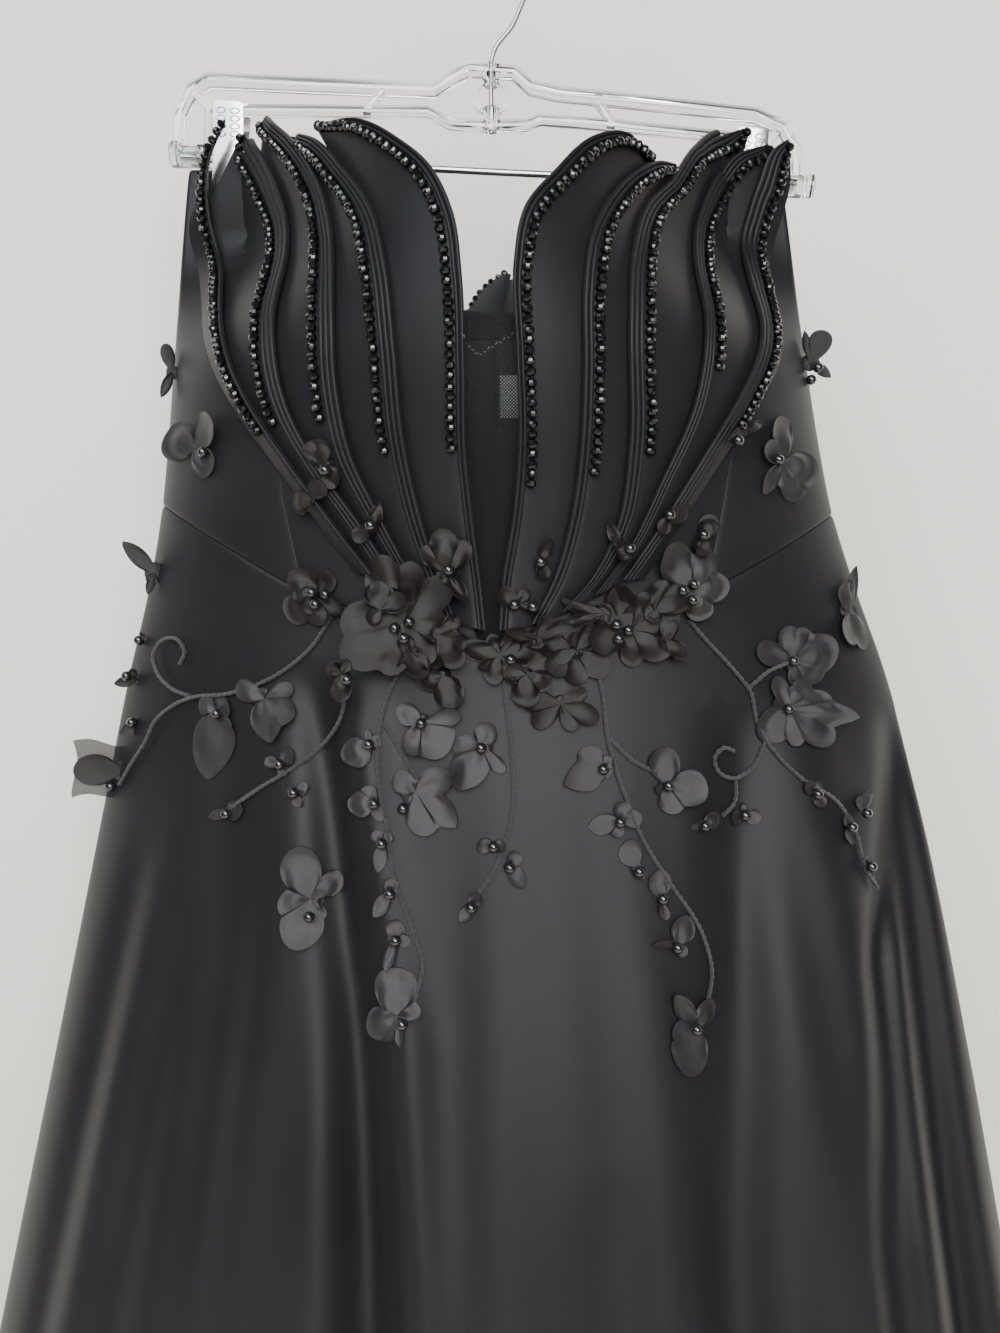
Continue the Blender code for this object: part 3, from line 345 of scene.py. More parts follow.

# %% [markdown]
# ## Making a sheet of cloth
# A sheet is two grids of points a wall apart, joined round the edge. Making it in code keeps both faces
# on the same form. Its smooth shading stops at the sharp edge all round.


def object_of(name, mesh, finish):
    """An object for a mesh, selected alone."""
    mesh.materials.append(finish)
    obj = bpy.data.objects.new(name, mesh)
    bpy.context.scene.collection.objects.link(obj)
    bpy.ops.object.select_all(action="DESELECT")
    obj.select_set(True)
    bpy.context.view_layer.objects.active = obj
    return obj


def settle(obj, slot, *nodes):
    """The finished piece rides the body and stands for its CAD nodes; slot is not used."""
    obj.select_set(False)
    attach(obj, "root")
    if nodes:
        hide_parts(*nodes)
    return obj


def model(name, points, faces, finish, slot, nodes=(), smooth_angle=0.9):
    """A named mesh from points in mm, shaded smooth except at its edges."""
    mesh = bpy.data.meshes.new(name)
    mesh.from_pydata((np.asarray(points, float) * MM).tolist(), [], faces)
    obj = object_of(name, mesh, finish)
    work = bmesh.new()
    work.from_mesh(mesh)
    bmesh.ops.recalc_face_normals(work, faces=work.faces)
    if work.calc_volume(signed=True) < 0:
        bmesh.ops.reverse_faces(work, faces=work.faces)
    work.to_mesh(mesh)
    work.free()
    if smooth_angle:
        bpy.ops.object.shade_smooth_by_angle(angle=smooth_angle)
    return settle(obj, slot, *nodes)


def shell_faces(rows, cols, back):
    """Faces of a closed wall between a grid of cols and one of back columns."""
    start = rows * cols
    faces = []
    for r in range(rows - 1):
        a, b = r * cols, start + r * back
        faces += [(a + c, a + c + 1, a + cols + c + 1, a + cols + c) for c in range(cols - 1)]
        faces += [(b + c, b + back + c, b + back + c + 1, b + c + 1) for c in range(back - 1)]
        faces.append((a, a + cols, b + back, b))
        faces.append((a + cols - 1, b + back - 1, b + 2 * back - 1, a + 2 * cols - 1))
    for r in (0, rows - 1):
        a, b = r * cols, start + r * back
        if cols == back:
            faces += [(a + c, b + c, b + c + 1, a + c + 1) for c in range(cols - 1)]
        else:
            faces.append([a + c for c in range(cols)] + [b + c for c in reversed(range(back))])
    return faces


def sheet(name, outer, inner, finish, slot, nodes):
    """A sheet of cloth that stands for CAD nodes."""
    obj = model(name, np.concatenate([outer.reshape(-1, 3), inner.reshape(-1, 3)]),
                shell_faces(*outer.shape[:2], inner.shape[1]), finish, slot, nodes)
    return obj


# %% [markdown]
# ## Panels: skirt and plain bodice
# Flat pattern pieces meet at seams, and a seam shows as a fine groove, because the cloth turns in along
# both edges. So each panel's lift drops within the last millimetre or two, and its grid is closer there.
# The skirt also has soft small ripples between its main folds, which catch the light.

# %% Seam lines
WAIST_FRONT = [(-190, 310), (-141, 338), (-107, 357), (-48, 377), (0, 388), (54, 378), (118, 358),
               (153, 340), (194, 317)]
WAIST_BACK = [(-190, 310), (-100, 332), (0, 345), (100, 335), (194, 317)]
TOP_FRONT = [(-190, 121), (-160, 121), (-138, 122), (-112, 138), (-60, 165), (-40, 182), (-20, 205),
             (20, 215), (36, 190), (60, 178), (100, 158), (132, 141), (190, 138.5)]
TOP_BACK = [(-190, 121), (-155, 121), (-130, 124), (-60, 165), (0, 192), (60, 170), (130, 142),
            (190, 138.5)]
TURN_IN = 1.1  # how near a seam the cloth turns in
PANEL_SEAM = {-1: [(-113, 284), (-108, 316), (-101, 352)], 1: [(124, 284), (119, 316), (112, 352)]}


def depth_at(points, shift=0.0):
    """down of the line through (x, down), moved shift downwards."""
    points = np.array(points, float)
    left, right = points[0, 0], points[-1, 0]
    return lambda x: smooth(points[:, 0], points[:, 1], np.clip(x, left, right)) + shift


def across_at(points, shift=0.0):
    """s of the line through (x, down), moved shift to the right."""
    line = spaced(points, 60)
    line = line[np.argsort(line[:, 1])]

    def across(down):
        """s at a height."""
        half, centre = span(down)
        return np.clip((np.interp(down, line[:, 1], line[:, 0]) + shift - centre) / half, -1, 1)
    return across


def with_close_ends(count, *close):
    """Even shares from 0 to 1, with further ones close to both ends."""
    return np.unique(np.r_[np.linspace(0, 1, count), close, 1 - np.array(close)])


def ripples(side, x, down):
    """Small soft waves of the skirt between its main folds, in mm."""
    grown = ramp(down, 400, 700)
    spread = x / (120 + 0.24 * (down - 330))
    return grown * (1.3 * np.sin(17 * spread + 0.7 * side) + 0.9 * np.sin(29 * spread + 1.9)
                    + 0.7 * np.sin(0.011 * down + 9 * spread))


def panel(name, side, left, right, top, bottom, cols, rows, nodes, wall=1.4, lift=0.0, even=1.0,
          finish=SATIN, slot="satin", curl=0.9, waves=0.0):
    """A panel between left and right, which give s at a depth, and top and bottom, which give down at x.

    x and down depend on each other, so both are found in a few rounds.
    """
    p = with_close_ends(cols, 0.002, 0.006, 0.012)[None, :]
    q = (with_close_ends(rows, 0.003, 0.008) ** even)[:, None]
    down = 250 + 0 * p * q
    for _ in range(14):
        low, high = np.arcsin(left(down)), np.arcsin(right(down))
        s = np.sin(low + (high - low) * p)
        half, centre = span(down)
        x = centre + half * s
        down = top(x) + (bottom(x) - top(x)) * q
    wide = half * np.abs(right(down) - left(down))
    tall = bottom(x) - top(x)
    turned = sum(np.exp(-far / TURN_IN) for far in (p * wide, (1 - p) * wide, q * tall, (1 - q) * tall))
    raise_by = lift - curl * np.minimum(turned, 1) + waves * ripples(side, x, down) * (1 - s ** 8)
    outer = lifted(side, s, down, raise_by)
    inner = lifted(side, s, down, np.minimum(raise_by, lift) - wall)
    return sheet(name, outer, inner, finish, slot, nodes)


# %% Skirt
CLOSED = 0.03  # half of what is left open at a seam of the back, in mm
SKIRT_CLOTH = dict(wall=1.2, even=1.35, waves=1.0)  # rows lie closer together near the waist


def level(down):
    """A straight edge at one height."""
    return lambda x: down + 0 * x


def side_seam(hand):
    """s of the side seam."""
    return lambda down: 0 * down + hand


def back_seam(hand):
    """s of the centre back seam, seen from one side of it."""
    return lambda down: (hand * CLOSED - span(down)[1]) / span(down)[0]


def from_left(hand, outer_edge, inner_edge):
    """Left and right edge of a panel that lies on one side of the gown."""
    return (outer_edge, inner_edge) if hand < 0 else (inner_edge, outer_edge)


skirt = [panel("skirt_front_cloth", FRONT, side_seam(-1), side_seam(1), depth_at(WAIST_FRONT, 2 * SEAM),
               level(HEM), 190, 120, ["skirt_front"], **SKIRT_CLOTH)]
for hand, word in ((-1, "left"), (1, "right")):
    ends = from_left(hand, side_seam(hand), back_seam(hand))
    skirt.append(panel(f"skirt_back_{word}_cloth", BACK, *ends, depth_at(WAIST_BACK, CLOSED), level(HEM),
                       90, 110, [f"skirt_back_{word}"], **SKIRT_CLOTH))
print("skirt panels:", len(skirt))

# %% [markdown]
# ## The petals' edges
# Each petal is stiffened cloth with a bound edge, then two or three covered cords side by side, then a
# row of beads. The free edge stands proud and the other edge runs on under the next petal. The tables
# give the free edge as points across and down, from the tip to the waist.

# %% Petal tables
LIFT_FREE, LIFT_HIDDEN, LIFT_BACK = 9.0, 2.8, 2.35  # of the free edge, and of the edge below the next
LIFT_UPPER_BACK = 2.2  # more, for the back petal that lies over the other
CROWN = 0.8  # how far the middle of a petal bulges
FOLD_WIDTH = 27  # near its tip a petal narrower than this lies down on its neighbour
CORD_HEIGHT, CORD_SPREAD = 1.25, 0.47
RUNS_UNDER, RUNS_LESS = 10, 5.5  # how far a petal runs on under the next, and how much less at its foot
BESIDE_BEADS = 2.6  # flat width on both sides of the bead row
BACK_BEADS = 0.6  # the back petals have their beads at the very edge
PETAL_WALL = 1.8
PETALS = {  # edges as (x, down); bead is the bead row's place in from the free edge, beads_to its end
    "petal_left_1": dict(
        free=[(-85, 130), (-64, 138), (-44, 152), (-28, 167), (-18, 188), (-14, 216), (-13, 256),
              (-13, 290), (-10, 325), (-6, 360), (-4, 382)],
        tip=[(-88, 130), (-84, 138), (-77, 152), (-72, 172)],
        bead=7.4, cords=2, beads_to=296),
    "petal_left_2": dict(
        free=[(-101, 128), (-89, 137), (-72, 158), (-58, 180), (-50, 210), (-46, 245), (-43, 285),
              (-37, 318), (-29, 347), (-19, 377)],
        tip=[(-104, 129), (-103, 137), (-97, 152)],
        bead=11, cords=3, beads_to=298),
    "petal_left_3": dict(
        free=[(-122, 109), (-102, 132), (-87, 158), (-79, 186), (-76, 230), (-75, 262), (-69, 294),
              (-57, 321), (-45, 345), (-32, 369)],
        tip=[(-125, 111), (-127, 126), (-124, 145)],
        bead=12, cords=3, beads_to=281, under=0.8),
    "petal_left_4": dict(
        free=[(-137, 108), (-123, 129), (-111, 156), (-105, 190), (-108, 230), (-102, 268), (-85, 300),
              (-66, 327), (-46, 360)],
        tip=[(-140, 110), (-147, 122), (-158, 143)],
        bead=13, cords=3, beads_to=283, under=0.5),
    "petal_left_5": dict(
        free=[(-146, 103), (-156, 124), (-157, 150), (-149, 188), (-141, 225), (-125, 262),
              (-102, 296), (-79, 328), (-61, 352)],
        tip=[(-149, 104), (-160, 118), (-166, 140)],
        bead=5.5, cords=1, beads_to=284, tuck=0),
    "petal_right_1": dict(
        free=[(79, 144), (64, 142), (48, 149), (30, 167), (15, 186), (10, 210), (11, 250), (12, 290),
              (9, 325), (4, 355), (2, 382)],
        tip=[(81, 147), (78, 157), (67, 176)],
        bead=7.4, cords=2, beads_to=313),
    "petal_right_2": dict(
        free=[(97, 142), (86, 146), (70, 158), (56, 176), (47, 196), (43, 222), (43, 255), (42, 290),
              (37, 328), (29, 356), (18, 379)],
        tip=[(98, 145), (92, 155), (85, 168)],
        bead=8.4, cords=2, beads_to=309),
    "petal_right_3": dict(
        free=[(140, 106), (121, 114), (106, 130), (93, 151), (76, 174), (68, 200), (65, 235),
              (66, 290), (61, 328), (47, 357), (33, 373)],
        tip=[(142, 109), (138, 122), (127, 142)],
        bead=11.3, cords=3, beads_to=295),
    "petal_right_4": dict(
        free=[(152, 115), (135, 121), (122, 137), (110, 164), (104, 197), (105, 236), (99, 270),
              (84, 304), (67, 340), (50, 364)],
        tip=[(155, 118), (153, 132), (149, 150)],
        bead=9.4, cords=3, beads_to=256),
    "petal_right_5": dict(
        free=[(162, 114), (154, 119), (147, 135), (139, 165), (139, 200), (139, 232), (125, 262),
              (104, 295), (80, 333), (64, 356)],
        tip=[(165, 117), (166, 132), (160, 160)],
        bead=13, cords=3, beads_to=280, tuck=0),
}
BACK_PETALS = {
    "petal_back_left": dict(
        free=[(8, 160), (-6, 168), (-18, 184), (-30, 210), (-36, 245), (-30, 290), (-14, 336)],
        tip=[(11, 162), (7, 175), (3, 200), (2, 250), (2, 338)],
        bead=6, cords=2, beads_to=280),
    "petal_back_right": dict(
        free=[(17, 163), (24, 174), (32, 190), (38, 215), (40, 245), (34, 290), (16, 337)],
        tip=[(9, 165), (4, 183), (1, 210), (1, 250), (2, 339)],
        bead=6, cords=2, beads_to=280),
}
print("petals:", len(PETALS) + len(BACK_PETALS))

# %% Plain bodice panels under the petals
BELOW_PETAL = 4.5  # how far the side panels reach in under the outer petals
BELOW_FIRST = 5.5  # how far the front panels' inner edges lie back from the first petals' edges
bodice = []
for hand, word in ((-1, "left"), (1, "right")):
    free = np.array(PETALS[f"petal_{word}_5"]["free"], float)
    under = free[free[:, 1] < 275] + (hand * BELOW_PETAL, 0)
    seam = np.concatenate([under[1:], PANEL_SEAM[hand]])
    inner = spaced(PETALS[f"petal_{word}_1"]["free"], 80)
    inner = inner[np.argmax(inner[:, 1] > 185):] + (hand * BELOW_FIRST, 0)
    centre_line = across_at(np.concatenate([inner[::6], inner[-1:] + (-hand * 1.0, 14)]))
    outside, inside = across_at(seam, hand * SEAM / 2), across_at(seam, -hand * SEAM / 2)
    for part, side, edges, top, waist, cols, rows in (
            ("side", FRONT, (side_seam(hand), outside), TOP_FRONT, WAIST_FRONT, 40, 60),
            ("front", FRONT, (inside, centre_line), TOP_FRONT, WAIST_FRONT, 60, 50),
            ("back", BACK, (side_seam(hand), back_seam(hand)), TOP_BACK, WAIST_BACK, 50, 50)):
        bodice.append(panel(f"bodice_{part}_{word}_cloth", side, *from_left(hand, *edges), depth_at(top),
                            depth_at(waist), cols, rows, [f"bodice_{part}_{word}"]))
print("bodice panels:", len(bodice))

# %% [markdown]
# ## Petals, with their cords raised in the cloth
# Across the petal, a short profile says how high the cloth stands: a rounded nose at the bound edge, a
# half round for each cord, a flat strip for the beads, then a gently crowned field. The same profile is
# carried along the whole edge and squeezed where the petal runs to its tip.

# %% Profile and surface of a petal


def rise(down):
    """The petals stand off the panels towards their tips."""
    return 7 * ramp(down, 178, 128) + 4 * ramp(down, 135, 100)


def place_across(side, x, down, lift):
    """s for the point of the lifted face that shows at x, and how far x lies past the face."""
    half, centre = span(down)
    s = np.clip((x - centre) / half, -1, 1)
    for _ in range(4):
        s = np.clip(s + (x - lifted(side, s, down, lift)[..., 0]) / half, -0.97, 0.97)
    return s, x - lifted(side, s, down, lift)[..., 0]


def petal_edges(spec, following, hand, rows):
    """Free and hidden edge of a petal as evenly spaced rows; the hidden one runs on under the next."""
    free = spaced(spec["free"], rows)
    tip = np.array(spec["tip"], float)
    if following is None:
        return free, spaced(tip, rows)
    rest = spaced(following, 40)
    more = RUNS_UNDER - RUNS_LESS * ramp(rest[:, 1], 200, 320)
    rest[:, 0] += hand * more * spec.get("under", 1.0)
    start = np.argmax(rest[:, 1] > tip[-1, 1] + 12)
    kept = np.unique(np.linspace(start, len(rest) - 1, 10).astype(int))
    return free, spaced(np.concatenate([tip, rest[kept]]), rows)


def edge_profile(spec):
    """How far in from the free edge, and how high, each point of the profile lies, in mm."""
    step = (spec["bead"] - BESIDE_BEADS) / spec["cords"]
    points = [(0.5, -1.7), (0.05, -1.2), (0.0, -0.5), (0.15, 0.1)]  # the bound edge
    for k in range(spec["cords"]):
        for turn in np.radians(np.arange(20, 161, 23)):
            across = (k + 0.5) * step - CORD_SPREAD * step * math.cos(turn)
            points.append((across, CORD_HEIGHT * math.sin(turn)))
        points.append(((k + 1) * step, -0.15))
    points += [(spec["bead"] + beside, 0.1) for beside in (-1.5, 0, BESIDE_BEADS)]
    return np.array(points)


def petal_surface(side, free, hidden, spec):
    """A function from share across and extra lift to points, and the rows' widths."""
    low = LIFT_HIDDEN if side > 0 else LIFT_BACK + (LIFT_UPPER_BACK if free[0, 0] > 12 else 0)
    lift = np.stack([LIFT_FREE + rise(free[:, 1]), low + rise(hidden[:, 1])])
    s_free, past_free = place_across(side, free[:, 0], free[:, 1], lift[0])
    s_hidden, past_hidden = place_across(side, hidden[:, 0], hidden[:, 1], lift[1])
    ends = lifted(side, s_free, free[:, 1], lift[0]), lifted(side, s_hidden, hidden[:, 1], lift[1])
    wide = np.linalg.norm(ends[1] - ends[0], axis=1)
    tucked = np.where(np.arange(len(free)) < len(free) / 3, 1 - np.clip(wide / FOLD_WIDTH, 0, 1), 0)
    lift[0] -= tucked * (LIFT_FREE - LIFT_HIDDEN) * spec.get("tuck", 1)

    def face(t, extra):
        """Points at share t from the free edge, raised by extra."""
        s = s_free[:, None] + (s_hidden - s_free)[:, None] * t
        down = free[:, 1:2] + (hidden[:, 1:2] - free[:, 1:2]) * t
        base = lift[0][:, None] + (lift[1] - lift[0])[:, None] * t
        points = lifted(side, s, down, base + extra + CROWN * np.sin(math.pi * np.clip(t, 0, 1)))
        points[..., 0] += past_free[:, None] + (past_hidden - past_free)[:, None] * t
        return points
    return face, wide


bead_lines = {}


def petal(name, side, spec, following, hand, rows=120):
    """A petal's sheet; following is the free edge of the petal that lies over its hidden edge."""
    free, hidden = petal_edges(spec, following, hand, rows)
    face, wide = petal_surface(side, free, hidden, spec)
    profile = edge_profile(spec)
    fit = np.minimum(1, 0.8 * wide / (spec["bead"] + BESIDE_BEADS))[:, None]
    t = profile[None, :, 0] * fit / wide[:, None]
    more = t[:, -1:] + (1 - t[:, -1:]) * np.linspace(0, 1, 12)[None, 1:]
    high = np.concatenate([np.tile(profile[:, 1], (rows, 1)) * fit ** 0.5, 0 * more], 1)
    outer = face(np.concatenate([t, more], 1), high)
    inner = face(np.linspace(0.02, 1, 7)[None, :] + 0 * wide[:, None], -PETAL_WALL + 0 * wide[:, None])
    inset, stand = (spec["bead"], 2.1) if side > 0 else (BACK_BEADS, 0.4)
    bead_lines[name] = face(inset * fit / wide[:, None], stand + 0 * fit)[:, 0], spec["beads_to"]
    return sheet(name + "_cloth", outer, inner, SATIN, "satin", [name])


petals = []
for hand, word in ((-1, "left"), (1, "right")):
    for k in range(1, 6):
        spec = PETALS[f"petal_{word}_{k}"]
        if k < 5:
            following = PETALS[f"petal_{word}_{k + 1}"]["free"]
        else:
            following = np.array(spec["free"], float) + (hand * (3 + spec["bead"] * 0.35), 0)
        petals.append(petal(f"petal_{word}_{k}", FRONT, spec, following, hand))
for name, spec in BACK_PETALS.items():
    petals.append(petal(name, BACK, spec, None, -1 if "left" in name else 1, 80))
print("petals made:", len(petals))

# %% [markdown]
# ## Beads in rows
# The beads are black glass rondelles with flat facets, threaded close together. One bead is modelled from
# a low sphere, squashed along its hole. Copies are turned to the run of the row and joined, so that each
# petal's row is one piece.

# %% One bead and its rows
BEAD_RADIUS, BEAD_SPACING = 2.65, 4.75
FLATTENED = 0.86


def taken(obj):
    """Points and faces of a modelled shape, whose object is removed."""
    points = np.array([v.co for v in obj.data.vertices])
    faces = [list(p.vertices) for p in obj.data.polygons]
    bpy.data.objects.remove(obj)
    return points, faces


def bead_shape():
    """Points and faces of one rondelle, hole along z, from a sphere of few facets."""
    bpy.ops.object.select_all(action="DESELECT")
    bpy.ops.mesh.primitive_uv_sphere_add(segments=9, ring_count=6, radius=BEAD_RADIUS)
    obj = bpy.context.object
    bpy.ops.object.mode_set(mode="EDIT")
    bpy.ops.mesh.select_all(action="SELECT")
    bpy.ops.transform.resize(value=(1, 1, FLATTENED))
    bpy.ops.object.mode_set(mode="OBJECT")
    return taken(obj)


def copies(shape, places, ahead, scale=None, turn=None):
    """Points and faces of a shape copied to places, its z turned to ahead."""
    points, faces = shape
    all_points, all_faces = [], []
    for k, (place, along) in enumerate(zip(places, ahead)):
        z = np.array(along) / np.linalg.norm(along)
        x = np.cross(z, (0.0, 1.0, 0.17))
        x /= np.linalg.norm(x)
        y = np.cross(z, x)
        angle = 0.0 if turn is None else turn[k]
        x, y = x * math.cos(angle) + y * math.sin(angle), y * math.cos(angle) - x * math.sin(angle)
        size = 1.0 if scale is None else scale[k]
        moved = points[:, :1] * x * size + points[:, 1:2] * y * size + points[:, 2:] * z * size
        all_points.append(moved + place)
        all_faces += [[k * len(points) + i for i in f] for f in faces]
    return np.concatenate(all_points), all_faces


BEAD_SHAPE = bead_shape()
rng = np.random.default_rng(7)
bead_count = 0
for name, (line, stop) in bead_lines.items():
    line = line[-line[:, 2] < stop]
    want = np.arange(1.5, run_along(line)[-1], BEAD_SPACING)
    want = want + rng.uniform(-0.35, 0.35, len(want))
    places = points_at(want, line)
    places += rng.uniform(-0.25, 0.25, places.shape) * (1, 0.4, 0)
    ahead = np.gradient(places, axis=0) + rng.uniform(-0.9, 0.9, places.shape)
    points, faces = copies(BEAD_SHAPE, places, ahead, rng.uniform(0.93, 1.06, len(want)),
                           rng.uniform(0, 1, len(want)))
    model(name + "_beads", points, faces, BEAD, "satin", smooth_angle=0)
    bead_count += len(want)
print("beads:", bead_count)

# %% [markdown]
# ## Net inset and label
# Fine net fills the V at the front. Its threads are thinner than a pixel, so its material draws them: two
# crossed waves of opacity stand for the threads, and small clear holes lie between them. A narrow folded
# band and a zigzag of thread finish its top edge. A plain woven label sewn inside the back shows through.

# %% Net
NET_THREADS = 290  # waves per metre, by Blender's measure
NET_LEFT = [(-20, 225), (-22, 260), (-20, 330), (-8, 400)]
NET_RIGHT = [(18, 225), (21, 260), (18, 330), (8, 400)]


def net_finish():
    """Black net: crossed threads round small holes that let light through."""
    made, shader = finish_named("black_net", (0.007, 0.007, 0.010), 0.8, Specular_IOR_Level=0.25)
    nodes, links = made.node_tree.nodes, made.node_tree.links
    place = nodes.new("ShaderNodeTexCoord")
    turned = nodes.new("ShaderNodeMapping")
    turned.inputs["Rotation"].default_value = (0, math.radians(45), 0)
    links.new(place.outputs["Object"], turned.inputs["Vector"])
    both = nodes.new("ShaderNodeMath")
    both.operation = "MAXIMUM"
    for k, direction in enumerate("XZ"):
        thread = nodes.new("ShaderNodeTexWave")
        thread.bands_direction = direction
        thread.inputs["Scale"].default_value = NET_THREADS
        thread.inputs["Distortion"].default_value = 0.4
        links.new(turned.outputs["Vector"], thread.inputs["Vector"])
        links.new(thread.outputs["Fac"], both.inputs[k])
    solid = nodes.new("ShaderNodeMapRange")
    for socket, value in (("From Min", 0.5), ("From Max", 0.95), ("To Min", 0.3), ("To Max", 0.95)):
        solid.inputs[socket].default_value = value
    links.new(both.outputs[0], solid.inputs["Value"])
    links.new(solid.outputs["Result"], shader.inputs["Alpha"])
    return made


NET = net_finish()
net_edges = across_at(NET_LEFT), across_at(NET_RIGHT)
net = panel("net_inset_cloth", FRONT, *net_edges, level(231), level(386), 24, 60, ["net_inset"],
            0.3, -2.5, finish=NET, slot="net", curl=0)
panel("net_band", FRONT, *net_edges, lambda x: 231.3 + 0.1 * x, lambda x: 243 + 0.004 * (x - 2) ** 2,
      20, 8, [], 0.4, -1.9, finish=NET, slot="net", curl=0)
panel("label_cloth", BACK, across_at([(3.5, 200), (3.5, 260)]), across_at([(15, 200), (15, 260)]),
      level(224), level(251), 12, 20, ["label"], 0.5, -2.8, finish=TAPE, slot="label_cloth", curl=0)
print("net:", len(net.data.polygons), "faces")

# %% [markdown]
# ## Laying trimmings on the cloth
# Everything sewn on top is seated by casting rays at the cloth beneath it, so it touches from every side
# view and not just from the front. The sprays' stems are two strands of cord twisted together: a tube
# whose radius swells in a helix.

# %% Rays onto the cloth


class Ground:
    """The cloth laid so far, in mm."""

    def __init__(self):
        """Start with nothing laid."""
        self.points, self.faces = [], []

    def take(self, *objects):
        """Add finished pieces to what the next ones lie on."""
        for obj in objects:
            start = len(self.points)
            self.points += [v.co / MM for v in obj.data.vertices]
            obj.data.calc_loop_triangles()
            self.faces += [[start + i for i in f.vertices] for f in obj.data.loop_triangles]
        self.tree = BVHTree.FromPolygons(self.points, self.faces)

    def reach(self, place, out, near=0.0, above=60, deep=110):
        """How far the cloth stands out along out at a place, or the most of it within near."""
        side = np.cross(out, (0, 0, 1.0))
        side /= np.linalg.norm(side)
        up = np.cross(side, out)
        around = ((near, 0), (-near, 0), (0, near), (0, -near)) if near else ()
        best = None
        for a, b in ((0, 0), *around):
            start = place + side * a + up * b + out * above
            hit = self.tree.ray_cast(Vector(start), Vector(-out), deep)
            if hit[0] is not None and (best is None or above - hit[3] > best):
                best = above - hit[3]
        return best

    def seat(self, x, down, out):
        """Point of the cloth under (x, down), seen along out, and axes of a plane on it."""
        out = np.array(out, float) / np.linalg.norm(out)
        hits = []
        for beside in (0, 2, -2):
            start = np.array([x + beside, 0, -down - beside]) + out * 300
            hits.append(self.tree.ray_cast(Vector(start), Vector(-out), 600))
        hit = min((h for h in hits if h[0] is not None), key=lambda h: round(h[3] / 10))
        normal = np.array(hit[1])
        normal = -normal if normal @ out < 0 else normal
        facing = normal * 0.6 + out * 0.4
        facing /= np.linalg.norm(facing)
        right = np.cross((0, 0, 1.0), facing)
        right /= np.linalg.norm(right)
        return np.array(hit[0]), right, np.cross(facing, right), facing


cloth = Ground()
cloth.take(*skirt, *bodice, *petals, net)
TOWARDS = np.array([0, -1.0, 0])
print("cloth triangles to lay on:", len(cloth.faces))

# %% Corded stems
STEM_RADIUS, STEM_TWIST, STEM_SWELL = 0.98, 0.9, 0.26  # mm, radians per mm, share of the radius


def tube(path, radius, sides, twist=0.0, swell=0.0):
    """Points and faces of a closed round bar; a twist with a swell gives it two strands."""
    path = np.array(path, float)
    ahead = np.gradient(path, axis=0)
    ahead /= np.linalg.norm(ahead, axis=1, keepdims=True)
    wide = np.cross(ahead, np.array([0, 1.0, 0.02]))
    wide /= np.linalg.norm(wide, axis=1, keepdims=True)
    deep = np.cross(wide, ahead)
    angles = np.arange(sides) * 2 * math.pi / sides
    size = radius * (1 + swell * np.cos(2 * (angles[None, :] - twist * run_along(path)[:, None])))
    rings = (path[:, None] + (size * np.cos(angles))[..., None] * wide[:, None]
             + (size * np.sin(angles))[..., None] * deep[:, None])
    faces = []
    for one in range(0, (len(path) - 1) * sides, sides):
        two = one + sides
        faces += [(one + k, one + (k + 1) % sides, two + (k + 1) % sides, two + k) for k in range(sides)]
    faces.append(tuple(reversed(range(sides))))
    faces.append(tuple((len(path) - 1) * sides + k for k in range(sides)))
    return rings.reshape(-1, 3), faces


def laid_path(path, radius):
    """A route over the cloth along (x, down) points, one point a millimetre or so."""
    long = run_along(np.array(path, float))[-1]
    flat = spaced(path, max(6, int(long / 1.1)))
    high = []
    for x, down in flat:
        found = cloth.reach(np.array([x, 0, -down]), TOWARDS, 1.2, 200, 400)
        high.append(high[-1] if found is None else found)
    high = np.array([max(high[max(0, i - 3):i + 4]) for i in range(len(high))])
    soft = np.convolve(np.pad(high, 4, mode="edge"), np.ones(9) / 9, "valid")
    return np.stack([flat[:, 0], -(soft + radius * 0.9), -flat[:, 1]], 1)


STEMS = {  # node, then each stem as (x, down) points
    "spray_hip_left": [
        [(-84, 374), (-93, 388), (-108, 401), (-123, 409), (-143, 415), (-162, 417), (-177, 423),
         (-188, 432), (-194, 443), (-203, 455), (-212, 468)],
        [(-164, 417), (-178, 412), (-187, 404), (-190, 395), (-184, 387), (-174, 386), (-169, 393),
         (-172, 400)]],
    "spray_low_left": [
        [(-76, 412), (-78, 424), (-91, 442), (-109, 455), (-121, 462), (-143, 477)]],
    "spray_drop_left": [
        [(-46, 396), (-54, 414), (-58, 430), (-58, 458), (-54, 478), (-50, 504), (-42, 525),
         (-36, 545), (-40, 562)],
        [(-56, 428), (-46, 444), (-38, 458)]],
    "spray_centre": [
        [(4, 400), (5, 412), (8, 440), (8, 474), (1, 496), (-9, 512)]],
    "spray_drop_right": [
        [(51, 400), (54, 412), (57, 438), (64, 462), (74, 487), (87, 508), (104, 535), (109, 555),
         (106, 570)],
        [(58, 437), (70, 448), (82, 454)]],
    "spray_hip_right": [
        [(100, 377), (107, 385), (125, 404), (133, 414), (137, 430), (143, 442), (160, 460),
         (180, 473), (191, 490), (197, 510), (205, 521)],
        [(141, 441), (133, 455), (124, 459), (115, 455), (113, 448), (118, 443), (124, 445)],
        [(125, 460), (124, 471), (117, 478)],
        [(133, 412), (144, 404), (155, 400)]],
}


def joined(parts):
    """One list of points and faces from several."""
    points, faces, start = [], [], 0
    for some, theirs in parts:
        points.append(np.asarray(some, float))
        faces += [[start + i for i in f] for f in theirs]
        start += len(some)
    return np.concatenate(points), faces


for node, routes in STEMS.items():
    made = [tube(laid_path(route, STEM_RADIUS), STEM_RADIUS, 10, STEM_TWIST, STEM_SWELL)
            for route in routes]
    obj = model(node + "_stems", *joined(made), CORDED, "flower_satin", [node])
    print(obj.name, len(obj.data.polygons), "faces")

